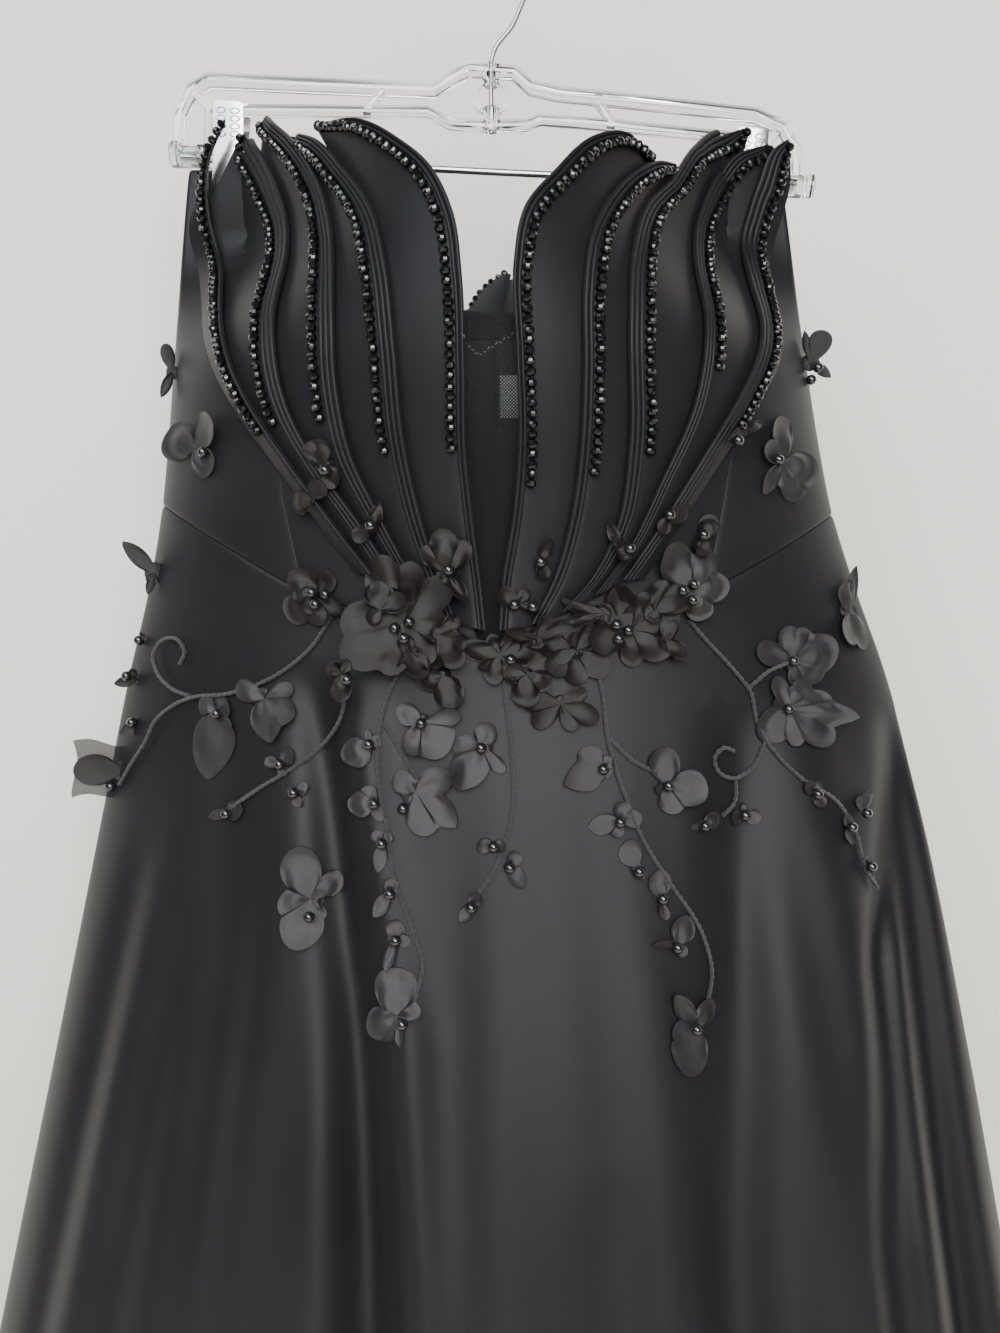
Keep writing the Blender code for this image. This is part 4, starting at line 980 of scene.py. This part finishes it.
# %% Stitches across the net's top
THREAD_RADIUS, SLANT = 0.22, 0.7
STITCH = cloth_finish("grey_thread", (0.09, 0.09, 0.10), (0.115, 0.115, 0.125), (0.5, 0.7), 900, 0.4)
parts = []
for start, end in np.array([((-14.5, 243), (-6.7, 250)), ((-6.7, 250), (10.5, 240))]):
    for share in np.linspace(0.03, 0.9, 9):
        one = start + (end - start) * share
        two = one + (end - start) * 0.06 + (0, SLANT if int(share * 100) % 2 else -SLANT)
        high = cloth.reach(np.array([one[0], 0, -one[1]]), TOWARDS, 0, 200, 400)
        arch = zip((one, (one + two) / 2, two), (0.35, 0.6, 0.35))
        parts.append(tube([(x, -(high + off), -down) for (x, down), off in arch], THREAD_RADIUS, 6))
model("net_stitches", *joined(parts), STITCH, "net")
print("stitches:", len(parts))

# %% [markdown]
# ## Cloth flowers and leaves
# The flowers are cut from satin: large smooth lobes, like an orchid's, that meet in sharp notches. Each
# lobe is given by its direction in degrees, its reach in millimetres and half its spread. A negative
# spread gives a leaf's point. The outline is the farthest lobe in each direction, and every other lobe
# lies a little higher, so the lobes overlap. Solidify gives the cloth its thickness. A scrap of the net
# backs the loose petal at the left edge.

# %% Flower tables
BLOOMS = {  # node: its cut pieces as x, down, lobes, cup, seed
    "spray_hip_left": [
        (-147, 424, [(-97, 36, -64), (160, 12, 50), (100, 8, 50), (-50, 15, 28)], 3, 1),
        (-120, 417, [(-76, 24, -75), (158, 18, 34), (22, 17, 30), (-35, 20, 45)], 4, 2)],
    "spray_low_left": [
        (-111, 450, [(40, 10, 50), (170, 8, 40), (-60, 7, 50)], 3, 4),
        (-103, 464, [(-100, 6, 60), (60, 8, 40), (150, 8, 40)], 3, 5),
        (-141, 477, [(195, 12, -40), (15, 10, 60)], 2.5, 6)],
    "spray_drop_left": [
        (-37, 428, [(150, 14, 45), (12, 20, 24), (-48, 21, 58), (-105, 16, 45)], 5, 7),
        (-40, 462, [(28, 20, 40), (140, 13, 50), (-40, 28, -46), (-70, 23, 40)], 5, 8),
        (-48, 567, [(95, 22, 55), (20, 12, 50), (215, 17, 60), (-80, 15, -30)], 4, 9),
        (-63, 438, [(215, 15, 60), (20, 6, 60), (100, 7, 30)], 2, 10),
        (-60, 467, [(185, 13, 58), (120, 10, 45), (-70, 9, 45)], 2, 11),
        (-56, 486, [(-100, 15, -38), (130, 7, 50), (40, 6, 50)], 2.5, 12),
        (-52, 510, [(-125, 15, -42), (90, 7, 60)], 2.5, 13),
        (-49, 532, [(92, 9, 60), (-110, 16, -30), (-20, 7, 50)], 2.5, 14)],
    "spray_centre": [
        (-7, 440, [(70, 13, 50), (-118, 24, -70), (-48, 17, 22), (180, 14, 50)], 5, 15),
        (-1, 488, [(180, 8, 55), (0, 6, 60)], 2.5, 16),
        (7, 498, [(-55, 12, -60), (60, 8, 50)], 3, 17),
        (-12, 517, [(-125, 10, -50), (60, 7, 60)], 2.5, 18)],
    "spray_drop_right": [
        (54, 451, [(202, 22, -62), (60, 7, 50), (140, 14, 50)], 3.5, 19),
        (87, 460, [(95, 19, 48), (-12, 20, 52), (-75, 15, 55), (205, 8, 30)], 5, 20),
        (62, 477, [(190, 17, -52), (70, 10, 50), (10, 11, 50), (-110, 8, 50)], 3, 21),
        (70, 500, [(112, 14, 50), (-60, 6, 60)], 3, 22),
        (82, 516, [(92, 14, 48), (-80, 10, 30)], 3, 23),
        (90, 538, [(62, 14, 55), (176, 14, -22), (-60, 7, 50)], 3, 24),
        (98, 578, [(-112, 23, 55), (125, 22, -36), (35, 15, 45), (195, 15, 45)], 5, 25)],
    "spray_hip_right": [
        (158, 399, [(166, 24, 30), (12, 27, 42), (60, 20, 36), (100, 19, 36), (-28, 21, 40),
                    (-72, 15, 46)], 6, 26),
        (154, 424, [(-135, 22, 46), (112, 17, 34), (42, 21, 36), (-8, 40, -26), (-38, 30, 34),
                    (10, 26, 30), (-78, 21, 30)], 6, 27),
        (167, 467, [(-70, 9, 45), (150, 8, 50), (50, 6, 50)], 2.5, 28),
        (196, 478, [(30, 14, -50), (130, 7, 50)], 2.5, 29),
        (187, 487, [(-100, 9, 60), (120, 8, 50)], 2.5, 30),
        (197, 508, [(-60, 14, -30), (130, 6, 50)], 2.5, 31),
        (105, 481, [(190, 8, -40), (20, 10, 50)], 2.5, 32),
        (129, 478, [(-20, 9, 50), (200, 8, 50), (90, 6, 30)], 2.5, 33)],
    "flower_waist_left": [
        (-46, 378, [(118, 35, 30), (80, 29, 27), (40, 31, 30), (178, 33, 34), (214, 35, 34),
                    (252, 27, 32), (-58, 24, 34), (-14, 26, 30), (148, 24, 20)], 8, 34)],
    "flower_waist_side": [
        (-93, 363, [(205, 19, 50), (140, 19, 42), (55, 15, 40), (-30, 18, -40), (-85, 15, 50)], 5, 35)],
    "flower_waist_centre": [
        (3, 394, [(168, 23, -40), (60, 14, 36), (12, 23, 34), (-50, 17, 36), (-110, 16, 34),
                  (120, 12, 36)], 6, 36)],
    "flower_waist_right": [
        (40, 391, [(165, 21, 34), (60, 16, 36), (14, 25, 32), (-35, 22, 32), (-85, 18, 36),
                   (-135, 19, 34), (115, 14, 36)], 6, 37)],
    "flower_waist_far": [
        (68, 382, [(105, 24, 34), (60, 22, 30), (15, 25, 32), (-35, 24, 34), (-85, 18, 36),
                   (200, 24, 34), (155, 20, 36)], 8, 38)],
    "flower_hip_waist": [
        (99, 362, [(118, 26, 42), (62, 24, 36), (10, 21, 42), (-60, 17, 45), (200, 15, 45)], 8, 39)],
    "flower_skirt": [
        (-94, 517, [(108, 26, 44), (36, 20, 32), (-108, 25, 48), (190, 17, 45), (-55, 12, 25)], 5, 40)],
    "flower_bodice_left": [
        (-158, 284, [(160, 26, 46), (40, 23, 42), (-60, 17, 60)], 6, 41)],
    "flower_bodice_right": [
        (152, 294, [(88, 25, 38), (150, 18, 34), (-8, 25, 42), (-62, 22, 40), (-128, 23, -36)], 6, 42)],
    "flower_front_left": [
        (-21, 352, [(133, 18, 34), (98, 22, 36), (60, 17, 36), (-54, 17, -26)], 5, 43)],
}
TRIMS = [  # further cut pieces, on the same cloth
    (-81, 299, [(110, 14, 50), (-60, 12, 50)], 4, 50),
    (-93, 313, [(200, 13, 50), (40, 12, 45)], 4, 51),
    (127, 280, [(196, 18, -36), (20, 15, -34)], 4, 52),
    (33, 419, [(172, 19, 32), (215, 17, 34), (-22, 19, 30), (-62, 15, 32), (30, 15, 30)], 5, 53),
    (-72, 405, [(-100, 14, 42), (150, 10, 45), (60, 8, 40)], 3, 54),
    (23, 347, [(70, 12, -45), (-80, 9, 45)], 4, 55),
    (12, 368, [(150, 12, 45), (-20, 11, -40), (60, 8, 40)], 4, 56),
    (87, 326, [(20, 11, 50), (-130, 9, 50)], 3, 57),
    (66, 343, [(120, 12, -45), (-40, 10, 50)], 4, 58),
    (106, 335, [(60, 13, 48), (-110, 10, 50)], 4, 59),
    (-58, 330, [(70, 13, -42), (200, 10, 45)], 3, 60),
    (-26, 404, [(-70, 17, 52), (200, 13, 50)], 4, 61),
    (16, 404, [(-95, 16, 50), (-20, 14, 42), (170, 10, 50)], 5, 62),
    (86, 388, [(-30, 16, -48), (80, 12, 40)], 5, 63),
    (-56, 371, [(100, 15, 50), (20, 13, 45), (230, 9, 50)], 6, 64),
    (-41, 391, [(-80, 16, 58), (100, 9, 50)], 5, 65),
    (-28, 383, [(-60, 20, 34), (-20, 15, 34), (40, 14, 30)], 7, 66),
    (54, 374, [(160, 24, -26), (190, 20, -24)], 5, 67),
    (20, 386, [(20, 22, -28), (170, 18, -26), (60, 12, 34)], 5, 68),
    (80, 374, [(30, 22, 34), (75, 17, 30)], 7, 69),
]
SIDE_TRIMS = [  # pieces that stand out past the gown's side
    (-180, 237, [(104, 16, 26), (-112, 15, -30)], 2, 70),
    (-192, 349, [(136, 25, -30), (-108, 13, -30)], 3, 71),
    (-204, 409, [(192, 13, -38), (110, 6, 40)], 2, 72),
    (-197, 388, [(125, 7, -34)], 2, 73),
    (-211, 461, [(178, 27, 36)], 3, 74),
    (-198, 433, [(205, 16, -40), (60, 9, 50)], 2, 75),
    (178, 233, [(66, 20, 34), (-40, 15, -34), (104, 18, -24)], 2, 76),
]
SIDE_BLOOM = (186, 376, [(68, 30, -26), (100, 18, 40), (-60, 22, 46), (-120, 20, 40)], 5, 44)
SIDE_FACING = (0.5, -0.87, 0)  # it faces half sideways
print("cut pieces:", sum(map(len, BLOOMS.values())) + 1 + len(TRIMS) + len(SIDE_TRIMS))

# %% Rule for one cut piece
SPOKES, RINGS = 80, 9
ANGLES = np.arange(SPOKES) * 2 * math.pi / SPOKES
STEPS = np.array([0.0, 1.5, 0.5, 2.0, 1.0])  # how much higher each further lobe lies
CLEAR_OF = 0.5  # between a piece and what it lies on


def outline_of(lobes, angles, seed):
    """Rim radius at each angle, the height step there, and how full the lobe is there."""
    reach = []
    for turn, far, spread in lobes:
        off = np.abs((angles - math.radians(turn) + math.pi) % (2 * math.pi) - math.pi)
        share = np.clip(off / math.radians(abs(spread) * 1.25), 0, 1)
        shape = (1 - share) ** 0.8 if spread < 0 else np.cos(share * math.pi / 2) ** 0.55
        reach.append(far * shape)
    reach = np.array(reach)
    core = 0.24 * max(lobe[1] for lobe in lobes)
    rim = np.maximum(reach.max(0), core)
    rim = rim * (1 + 0.04 * np.sin(3 * angles + seed) + 0.02 * np.sin(7 * angles + 2.1 * seed))
    step = STEPS[reach.argmax(0) % len(STEPS)]
    inside = reach.max(0) / np.maximum(reach.max(), 1)
    return rim, step, inside


def bloom(x, down, lobes, cup, seed, out=TOWARDS, raised=0.0, loose=False):
    """One cut piece of satin at (x, down): a disc of rings and spokes, laid on the cloth or loose."""
    rim, step, inside = outline_of(lobes, ANGLES, seed)
    if loose:
        found = cloth.tree.find_nearest(Vector((x, -12, -down)))[0]
        origin = np.array([x, found[1] - 2, -down])
        facing = np.array(out, float) / np.linalg.norm(out)
        right = np.cross((0, 0, 1.0), facing)
        right /= np.linalg.norm(right)
        up = np.cross(facing, right)
        edge, core = np.zeros(SPOKES), 0.0
    else:
        origin, right, up, facing = cloth.seat(x, down, out)
        high = []
        for share in (0.95, 0.5):
            found = []
            for k in np.linspace(0, SPOKES, 16, endpoint=False).astype(int):
                a = share * rim[k] * math.cos(ANGLES[k])
                b = share * rim[k] * math.sin(ANGLES[k])
                found.append(cloth.reach(origin + right * a + up * b, facing, 2.0) or 0.0)
            high.append(np.interp(np.arange(SPOKES), np.linspace(0, SPOKES, 17), found + found[:1]))
        core = max(high[1].max(), cloth.reach(origin, facing, 3.0) or 0.0, high[0].max() - 5)
        edge = np.maximum(high[0], core - 6)
    points = [origin + facing * (core + CLEAR_OF + raised)]
    for ring in np.linspace(1 / RINGS, 1, RINGS):
        bed = core + (edge - core) * ramp(ring, 0.45, 1.0)
        wave = 0.55 + 0.45 * np.sin(2 * ANGLES + 1.7 * seed)
        curl = cup * ring ** 2.4 * (0.35 + 0.65 * inside ** 2) * wave
        dip = -0.12 * cup * math.sin(math.pi * ring) * (1 + np.sin(3 * ANGLES + seed))
        lift = bed + CLEAR_OF + raised + np.maximum(curl + dip + step * min(1, 2.2 * ring), -0.2)
        a, b = ring * rim * np.cos(ANGLES), ring * rim * np.sin(ANGLES)
        points += list(origin + right * a[:, None] + up * b[:, None] + facing * lift[:, None])
    faces = [(0, 1 + k, 1 + (k + 1) % SPOKES) for k in range(SPOKES)]
    for r in range(RINGS - 1):
        one, two = 1 + r * SPOKES, 1 + (r + 1) * SPOKES
        faces += [(one + k, two + k, two + (k + 1) % SPOKES, one + (k + 1) % SPOKES)
                  for k in range(SPOKES)]
    return np.array(points), faces


def cut_of(lobes):
    """Width and height of the flat cut that holds the lobes, in mm."""
    rim = outline_of(lobes, ANGLES, 0)[0]
    return np.ptp(rim * np.cos(ANGLES)), np.ptp(rim * np.sin(ANGLES))


# %% Cut pieces joined and thickened
SATIN_WALL = 0.0005  # metres
LEAST_CUT, LEAST_CUT_SHARE = 0.0105, 0.31


def satin_piece(name, parts, cuts, nodes=(), finish=FLOWER):
    """Joined cut pieces with the cloth's thickness; it works out the size of one strip that holds all the
    cuts.
    """
    points, faces = joined(parts)
    mesh = bpy.data.meshes.new(name)
    mesh.from_pydata((points * MM).tolist(), [], faces)
    obj = object_of(name, mesh, finish)
    thick = obj.modifiers.new("thickness", "SOLIDIFY")
    thick.thickness = SATIN_WALL
    thick.offset = 0
    bpy.ops.object.modifier_apply(modifier="thickness")
    bpy.ops.object.shade_smooth_by_angle(angle=0.8)
    settle(obj, "flower_satin", *nodes)
    area = sum(p.area for p in obj.data.polygons) / 2
    wide, tall = sum(c[0] for c in cuts) * MM, max(c[1] for c in cuts) * MM
    wide = max(wide, 1.02 * area / tall, LEAST_CUT)
    cloth.take(obj)
    print(f"{name}: {len(parts)} cuts, {len(obj.data.polygons)} faces")


# %% Lay the flowers
UPPER_TURN, UPPER_SIZE, UPPER_CUP, UPPER_RAISED = 38, 0.6, 0.9, 1.6
for node, rows in BLOOMS.items():
    at_waist = node.startswith("flower_waist")
    parts, cuts = [], []
    for x, down, lobes, cup, seed in rows:
        parts.append(bloom(x, down, lobes, cup, seed))
        cuts.append(cut_of(lobes))
        if at_waist or node == "flower_hip_waist":  # the full ones have a second layer
            upper = [(turn + UPPER_TURN, far * UPPER_SIZE, spread) for turn, far, spread in lobes[:3]]
            parts.append(bloom(x + 1, down + 1, upper, cup * UPPER_CUP, seed + 50, raised=UPPER_RAISED))
            cuts.append(cut_of(upper))
    dark = at_waist or node == "flower_front_left"
    satin_piece(node + "_petals", parts, cuts, [node], DEEP if dark else FLOWER)
satin_piece("flower_side_right_petals", [bloom(*SIDE_BLOOM, SIDE_FACING)], [(30, 44)],
            ["flower_side_right"])
for name, rows, loose in (("waist_trims", TRIMS, False), ("side_trims", SIDE_TRIMS, True)):
    satin_piece(name + "_petals", [bloom(*row, loose=loose) for row in rows],
                [cut_of(row[2]) for row in rows], finish=DEEP)

# %% The scrap of net behind the petal at the left edge
p, q = np.meshgrid(np.linspace(0, 1, 16), np.linspace(0, 1, 12))
behind = cloth.tree.find_nearest(Vector((-211, -12, -461)))[0][1]
scrap = np.stack([-241 + 38 * p + 2 * np.sin(5 * q), behind + 1.2 * np.sin(4 * p + 2 * q),
                  -444 - (33 - 6 * p) * q - 3 * p + 1.5 * np.sin(7 * p)], -1)
sheet("net_scrap", scrap, scrap + (0, 0.3, 0), NET, "net", [])

# %% [markdown]
# ## Pearls
# Round black pearls of about 6 mm sit in the flowers and beside the stems. One is modelled from a sphere:
# its poles are drawn in, where the thread passes. Each pearl rests on whatever lies under it.

# %% One pearl and its places
PEARL_RADIUS = 2.9


def pearl_shape():
    """Points and faces of one pearl, with its poles drawn in."""
    bpy.ops.object.select_all(action="DESELECT")
    bpy.ops.mesh.primitive_uv_sphere_add(segments=20, ring_count=13, radius=PEARL_RADIUS)
    obj = bpy.context.object
    for vertex in obj.data.vertices:
        vertex.select = abs(vertex.co.z) > 0.98 * PEARL_RADIUS
    for part in (obj.data.edges, obj.data.polygons):
        part.foreach_set("select", [False] * len(part))
    bpy.ops.object.mode_set(mode="EDIT")
    bpy.ops.transform.resize(value=(1, 1, FLATTENED))
    bpy.ops.object.mode_set(mode="OBJECT")
    return taken(obj)


PEARLS = [  # x, down
    (-147, 425), (-202, 387), (-208, 407), (-204, 433), (-219, 470), (-111, 450), (-103, 464),
    (-141, 477), (-63, 438), (-60, 467), (-56, 486), (-52, 510), (-49, 532), (-45, 569), (-37, 428),
    (-46, 470), (-7, 440), (-1, 488), (7, 498), (-12, 517), (87, 460), (54, 451), (62, 477), (71, 501),
    (83, 515), (90, 539), (99, 579), (129, 478), (106, 481), (168, 468), (199, 481), (187, 486),
    (199, 508), (158, 399), (154, 424), (-49, 380), (-42, 377), (-44, 385), (-93, 362), (-86, 363),
    (-91, 368), (8, 396), (61, 379), (67, 382), (62, 386), (95, 362), (101, 359), (100, 367),
    (-72, 405), (-94, 525), (150, 293), (-154, 287), (-22, 352), (23, 348), (19, 370), (10, 369),
    (87, 325), (66, 342), (106, 334), (-60, 330), (-82, 303), (123, 287), (181, 237), (178, 243)]
PEARL_SHAPE = pearl_shape()
places, ahead = [], []
for x, down in PEARLS:
    high = cloth.reach(np.array([x, 0, -down]), TOWARDS, 1.6, 300, 420)
    if high is None:
        high = 2.0 - cloth.tree.find_nearest(Vector((x, -12, -down)))[0][1]
    places.append((x, -(high + 2.1), -down))
    ahead.append((rng.uniform(-1, 1), rng.uniform(-0.35, 0.35), rng.uniform(-1, 1)))
model("pearls", *copies(PEARL_SHAPE, places, ahead), PEARL, "flower_satin", smooth_angle=1.2)
print("pearls:", len(PEARLS))

# %% [markdown]
# ## The hanger
# The hanger is hard, so its CAD form is kept. A merged copy gets rounded edges from a bevel, which is what
# catches the light on clear plastic. The wire hook and the rod are drawn anew from round primitives.

# %% Frame and clips from the CAD forms


def rounded_copy(node, name, finish, slot, width, corner=0.0):
    """The CAD node's form with its triangles merged and its edges rounded."""
    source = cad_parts[node]
    mesh = bpy.data.meshes.new(name)
    work = bmesh.new()
    work.from_mesh(source.data)
    work.transform(source.matrix_world)
    bmesh.ops.remove_doubles(work, verts=work.verts, dist=1e-5)
    bmesh.ops.dissolve_limit(work, angle_limit=0.02, verts=work.verts, edges=work.edges)
    if corner:
        top = max(v.co.z for v in work.verts)
        ends = [e for e in work.edges if min(v.co.z for v in e.verts) > top - 0.0025
                and abs(e.verts[0].co.y - e.verts[1].co.y) > 0.8 * e.calc_length()]
        bmesh.ops.bevel(work, geom=ends, offset=corner * MM, segments=5, profile=0.5, affect="EDGES")
    work.to_mesh(mesh)
    work.free()
    mesh.materials.clear()
    obj = object_of(name, mesh, finish)
    soft = obj.modifiers.new("edges", "BEVEL")
    soft.width = width * MM
    soft.segments = 2
    soft.limit_method = "ANGLE"
    soft.angle_limit = 0.6
    bpy.ops.object.modifier_apply(modifier="edges")
    bpy.ops.object.shade_smooth_by_angle(angle=0.5)
    return settle(obj, slot, node)


hanger = [rounded_copy("hanger_frame", "hanger_clear_frame", CLEAR, "clear_plastic", 0.5),
          rounded_copy("clip_left", "clip_left_plates", PLATE, "clip_steel", 0.12, 2.4),
          rounded_copy("clip_right", "clip_right_plates", PLATE, "clip_steel", 0.12, 2.4)]
print("hanger pieces:", [len(o.data.polygons) for o in hanger])

# %% Wire hook, rod and the rod's end barrels, drawn from a circle step by step
LEAN = math.radians(3.04)  # the rod hangs lower on the right
WIRE_RADIUS = 1.4
HOOK_RADIUS, HOOK_CENTRE = 19.9, 18.5  # of the wire's own middle line, and its centre's down
ROD_STEPS = [(0, 1.5, 0), (0.4, 2.0, -LEAN), (347.6, 2.0, 0), (0.4, 1.5, 0)]  # advance, radius, turn
BARREL_STEPS = [(0, 5.6, 0), (0.9, 6.8, -LEAN), (3.4, 6.8, 0), (0.6, 5.0, 0), (10.5, 5.0, 0),
                (0.6, 6.4, 0), (4, 6.4, 0), (0.9, 5.2, 0)]


def drawn(name, start, steps, sides, finish, slot, nodes=()):
    """A circle at start, extruded along +X by steps of (advance, radius, turn about Y)."""
    bpy.ops.object.select_all(action="DESELECT")
    bpy.ops.mesh.primitive_circle_add(vertices=sides, radius=steps[0][1] * MM, fill_type="NGON",
                                      rotation=(0, math.pi / 2, 0))
    obj = bpy.context.object
    bpy.ops.object.transform_apply(rotation=True)
    bpy.ops.object.mode_set(mode="EDIT")
    bpy.ops.mesh.select_all(action="SELECT")
    at, heading, radius = np.zeros(3), 0.0, steps[0][1]
    for advance, size, turn in steps[1:]:
        heading += turn
        move = advance * MM * np.array([math.cos(heading), 0, math.sin(heading)])
        at = at + move
        bpy.ops.mesh.extrude_region_move(TRANSFORM_OT_translate={"value": tuple(move)})
        bpy.ops.transform.resize(value=(size / radius,) * 3, center_override=tuple(at))
        bpy.ops.transform.rotate(value=turn, orient_axis="Y", center_override=tuple(at))
        radius = size
    bpy.ops.object.mode_set(mode="OBJECT")
    obj.location = np.array(start) * MM
    bpy.ops.object.transform_apply(location=True)
    obj.name = name
    work = bmesh.new()
    work.from_mesh(obj.data)
    bmesh.ops.recalc_face_normals(work, faces=work.faces)
    work.to_mesh(obj.data)
    work.free()
    obj.data.materials.append(finish)
    bpy.ops.object.shade_smooth_by_angle(angle=0.7)
    corners = np.array([v.co for v in obj.data.vertices]) / MM
    print(name, "box in mm:", corners.min(0).round(1).tolist(), corners.max(0).round(1).tolist())
    return settle(obj, slot, *nodes)


def rod_down(x, at=112.6):
    """down of the leaning rod at x, given what it is at the left clip."""
    return at + math.tan(LEAN) * (x + 161)


drawn("clip_rod_bar", (-177, 0, -112.55), ROD_STEPS, 24, PLATE, "clip_steel", ["clip_rod"])
for x, word in ((-183, "left"), (161.5, "right")):
    drawn(f"rod_barrel_{word}", (x, 0, -rod_down(x)), BARREL_STEPS, 32, CLEAR, "clear_plastic")
arc = np.radians(range(205, -27, -11))
route = list(zip(HOOK_RADIUS * np.cos(arc), -HOOK_CENTRE + HOOK_RADIUS * np.sin(arc)))
route += [(16.4, -30.5), (14.1, -36.0), (10.6, -42.6), (6.2, -47.6), (2.4, -52.5), (0.2, -58), (-0.6, -66),
          (-0.6, -80), (-0.6, -93.5)]
route = spaced(route, 60)
steps, heading = [(0, 1.0, 0.0)], 0.0
for (x0, z0), (x1, z1) in zip(route[:-1], route[1:]):
    toward = math.atan2(z1 - z0, x1 - x0)
    turn = (toward - heading + math.pi) % (2 * math.pi) - math.pi
    steps.append((math.hypot(x1 - x0, z1 - z0), WIRE_RADIUS, turn))
    heading = toward
drawn("wire_hook", (route[0][0], 0, route[0][1]), steps, 16, WIRE, "hook_steel", ["hanger_hook"])

# %% Embossed ovals on the clips' handles
CLIP_DOWN = 113.4  # down of the clips' middle at the left clip
PLATE_SLOPE, OVAL_SLOPE = 0.168, 0.19  # the handles' plates spread upwards


def oval_shape():
    """One raised oval: a ring stretched sideways in edit mode."""
    bpy.ops.object.select_all(action="DESELECT")
    bpy.ops.mesh.primitive_torus_add(major_segments=20, minor_segments=6, major_radius=1.5,
                                     minor_radius=0.32, rotation=(math.pi / 2, 0, 0))
    obj = bpy.context.object
    bpy.ops.object.transform_apply(rotation=True)
    bpy.ops.object.mode_set(mode="EDIT")
    bpy.ops.mesh.select_all(action="SELECT")
    bpy.ops.transform.resize(value=(1.7, 1.0, 0.95))
    bpy.ops.object.mode_set(mode="OBJECT")
    return taken(obj)


OVAL = oval_shape()
for name, x in (("clip_left", -149.2), ("clip_right", 144.8)):
    parts = []
    for across in (-3.9, 3.9):
        for high in (11.0, 15.0, 19.0, 23.0):
            deep = 5.75 + PLATE_SLOPE * (high - 3)
            for face in (-1, 1):
                end = (x + across * math.cos(LEAN) + high * math.sin(LEAN), face * deep,
                       -rod_down(x, CLIP_DOWN) - across * math.sin(LEAN) + high * math.cos(LEAN))
                points = OVAL[0].copy()
                points[:, 1] += face * points[:, 2] * OVAL_SLOPE
                parts.append((points + end, OVAL[1]))
    model(name + "_ovals", *joined(parts), PLATE, "clip_steel", smooth_angle=1.2)
print("ovals:", 2 * len(parts))

# %% [markdown]
# ## Room, light and camera
# The gown hangs before a pale wall. The light is broad and soft: a warm one in front and a little to the
# right, as from a window, and a weaker cool one above on the left. So the satin's folds show as wide dull
# highlights. The camera stands 0.6 m in front, just above the waist, and looks slightly down, as in
# the photo.

# %% Wall, floor, lights and camera


def room_finish():
    """Matt pale paint that is clear from behind, so that the wall never hides the back of the gown."""
    made, shader = finish_named("pale_paint", (0.94, 0.905, 0.83), 0.9)
    nodes, links = made.node_tree.nodes, made.node_tree.links
    facing = nodes.new("ShaderNodeNewGeometry")
    clear = nodes.new("ShaderNodeBsdfTransparent")
    mixed = nodes.new("ShaderNodeMixShader")
    links.new(facing.outputs["Backfacing"], mixed.inputs["Fac"])
    links.new(shader.outputs["BSDF"], mixed.inputs[1])
    links.new(clear.outputs["BSDF"], mixed.inputs[2])
    links.new(mixed.outputs["Shader"], nodes["Material Output"].inputs["Surface"])
    return made


PAINT = room_finish()
bpy.ops.object.select_all(action="DESELECT")
bpy.ops.mesh.primitive_plane_add(size=6, location=(0, 0.14, 0), rotation=(math.pi / 2, 0, 0))
wall = bpy.context.object
wall.name = "wall"
bpy.ops.mesh.primitive_plane_add(size=8, location=(0, 0, -1.56))
ground_plane = bpy.context.object
ground_plane.name = "floor"
for obj in (wall, ground_plane):
    obj.data.materials.append(PAINT)


def area_light(name, place, target, size, power, colour):
    """A square light at place that faces target."""
    data = bpy.data.lights.new(name, "AREA")
    data.size, data.energy, data.color = size, power, colour
    obj = bpy.data.objects.new(name, data)
    obj.location = place
    obj.rotation_euler = (Vector(target) - Vector(place)).to_track_quat("-Z", "Y").to_euler()
    bpy.context.scene.collection.objects.link(obj)


area_light("window", (0.3, -2.3, 0.1), (0.05, 0, -0.6), 1.3, 70, (1.0, 0.97, 0.94))
area_light("ceiling", (-0.7, -1.7, 0.8), (-0.05, 0, -0.3), 1.5, 38, (0.88, 0.94, 1.0))
world = bpy.data.worlds.new("soft_room")
world.use_nodes = True
sky = world.node_tree.nodes["Background"]
sky.inputs["Color"].default_value = (0.80, 0.82, 0.86, 1)
sky.inputs["Strength"].default_value = 0.17
bpy.context.scene.world = world

lens = bpy.data.cameras.new("camera")
lens.sensor_width, lens.sensor_fit, lens.lens = 36, "AUTO", 28.57
lens.clip_start = 0.02
camera = bpy.data.objects.new("camera", lens)
camera.location = (0.0028, -0.615, -0.374)
camera.rotation_euler = (math.radians(90 - 2.77), math.radians(0.3), 0)
bpy.context.scene.collection.objects.link(camera)
bpy.context.scene.camera = camera
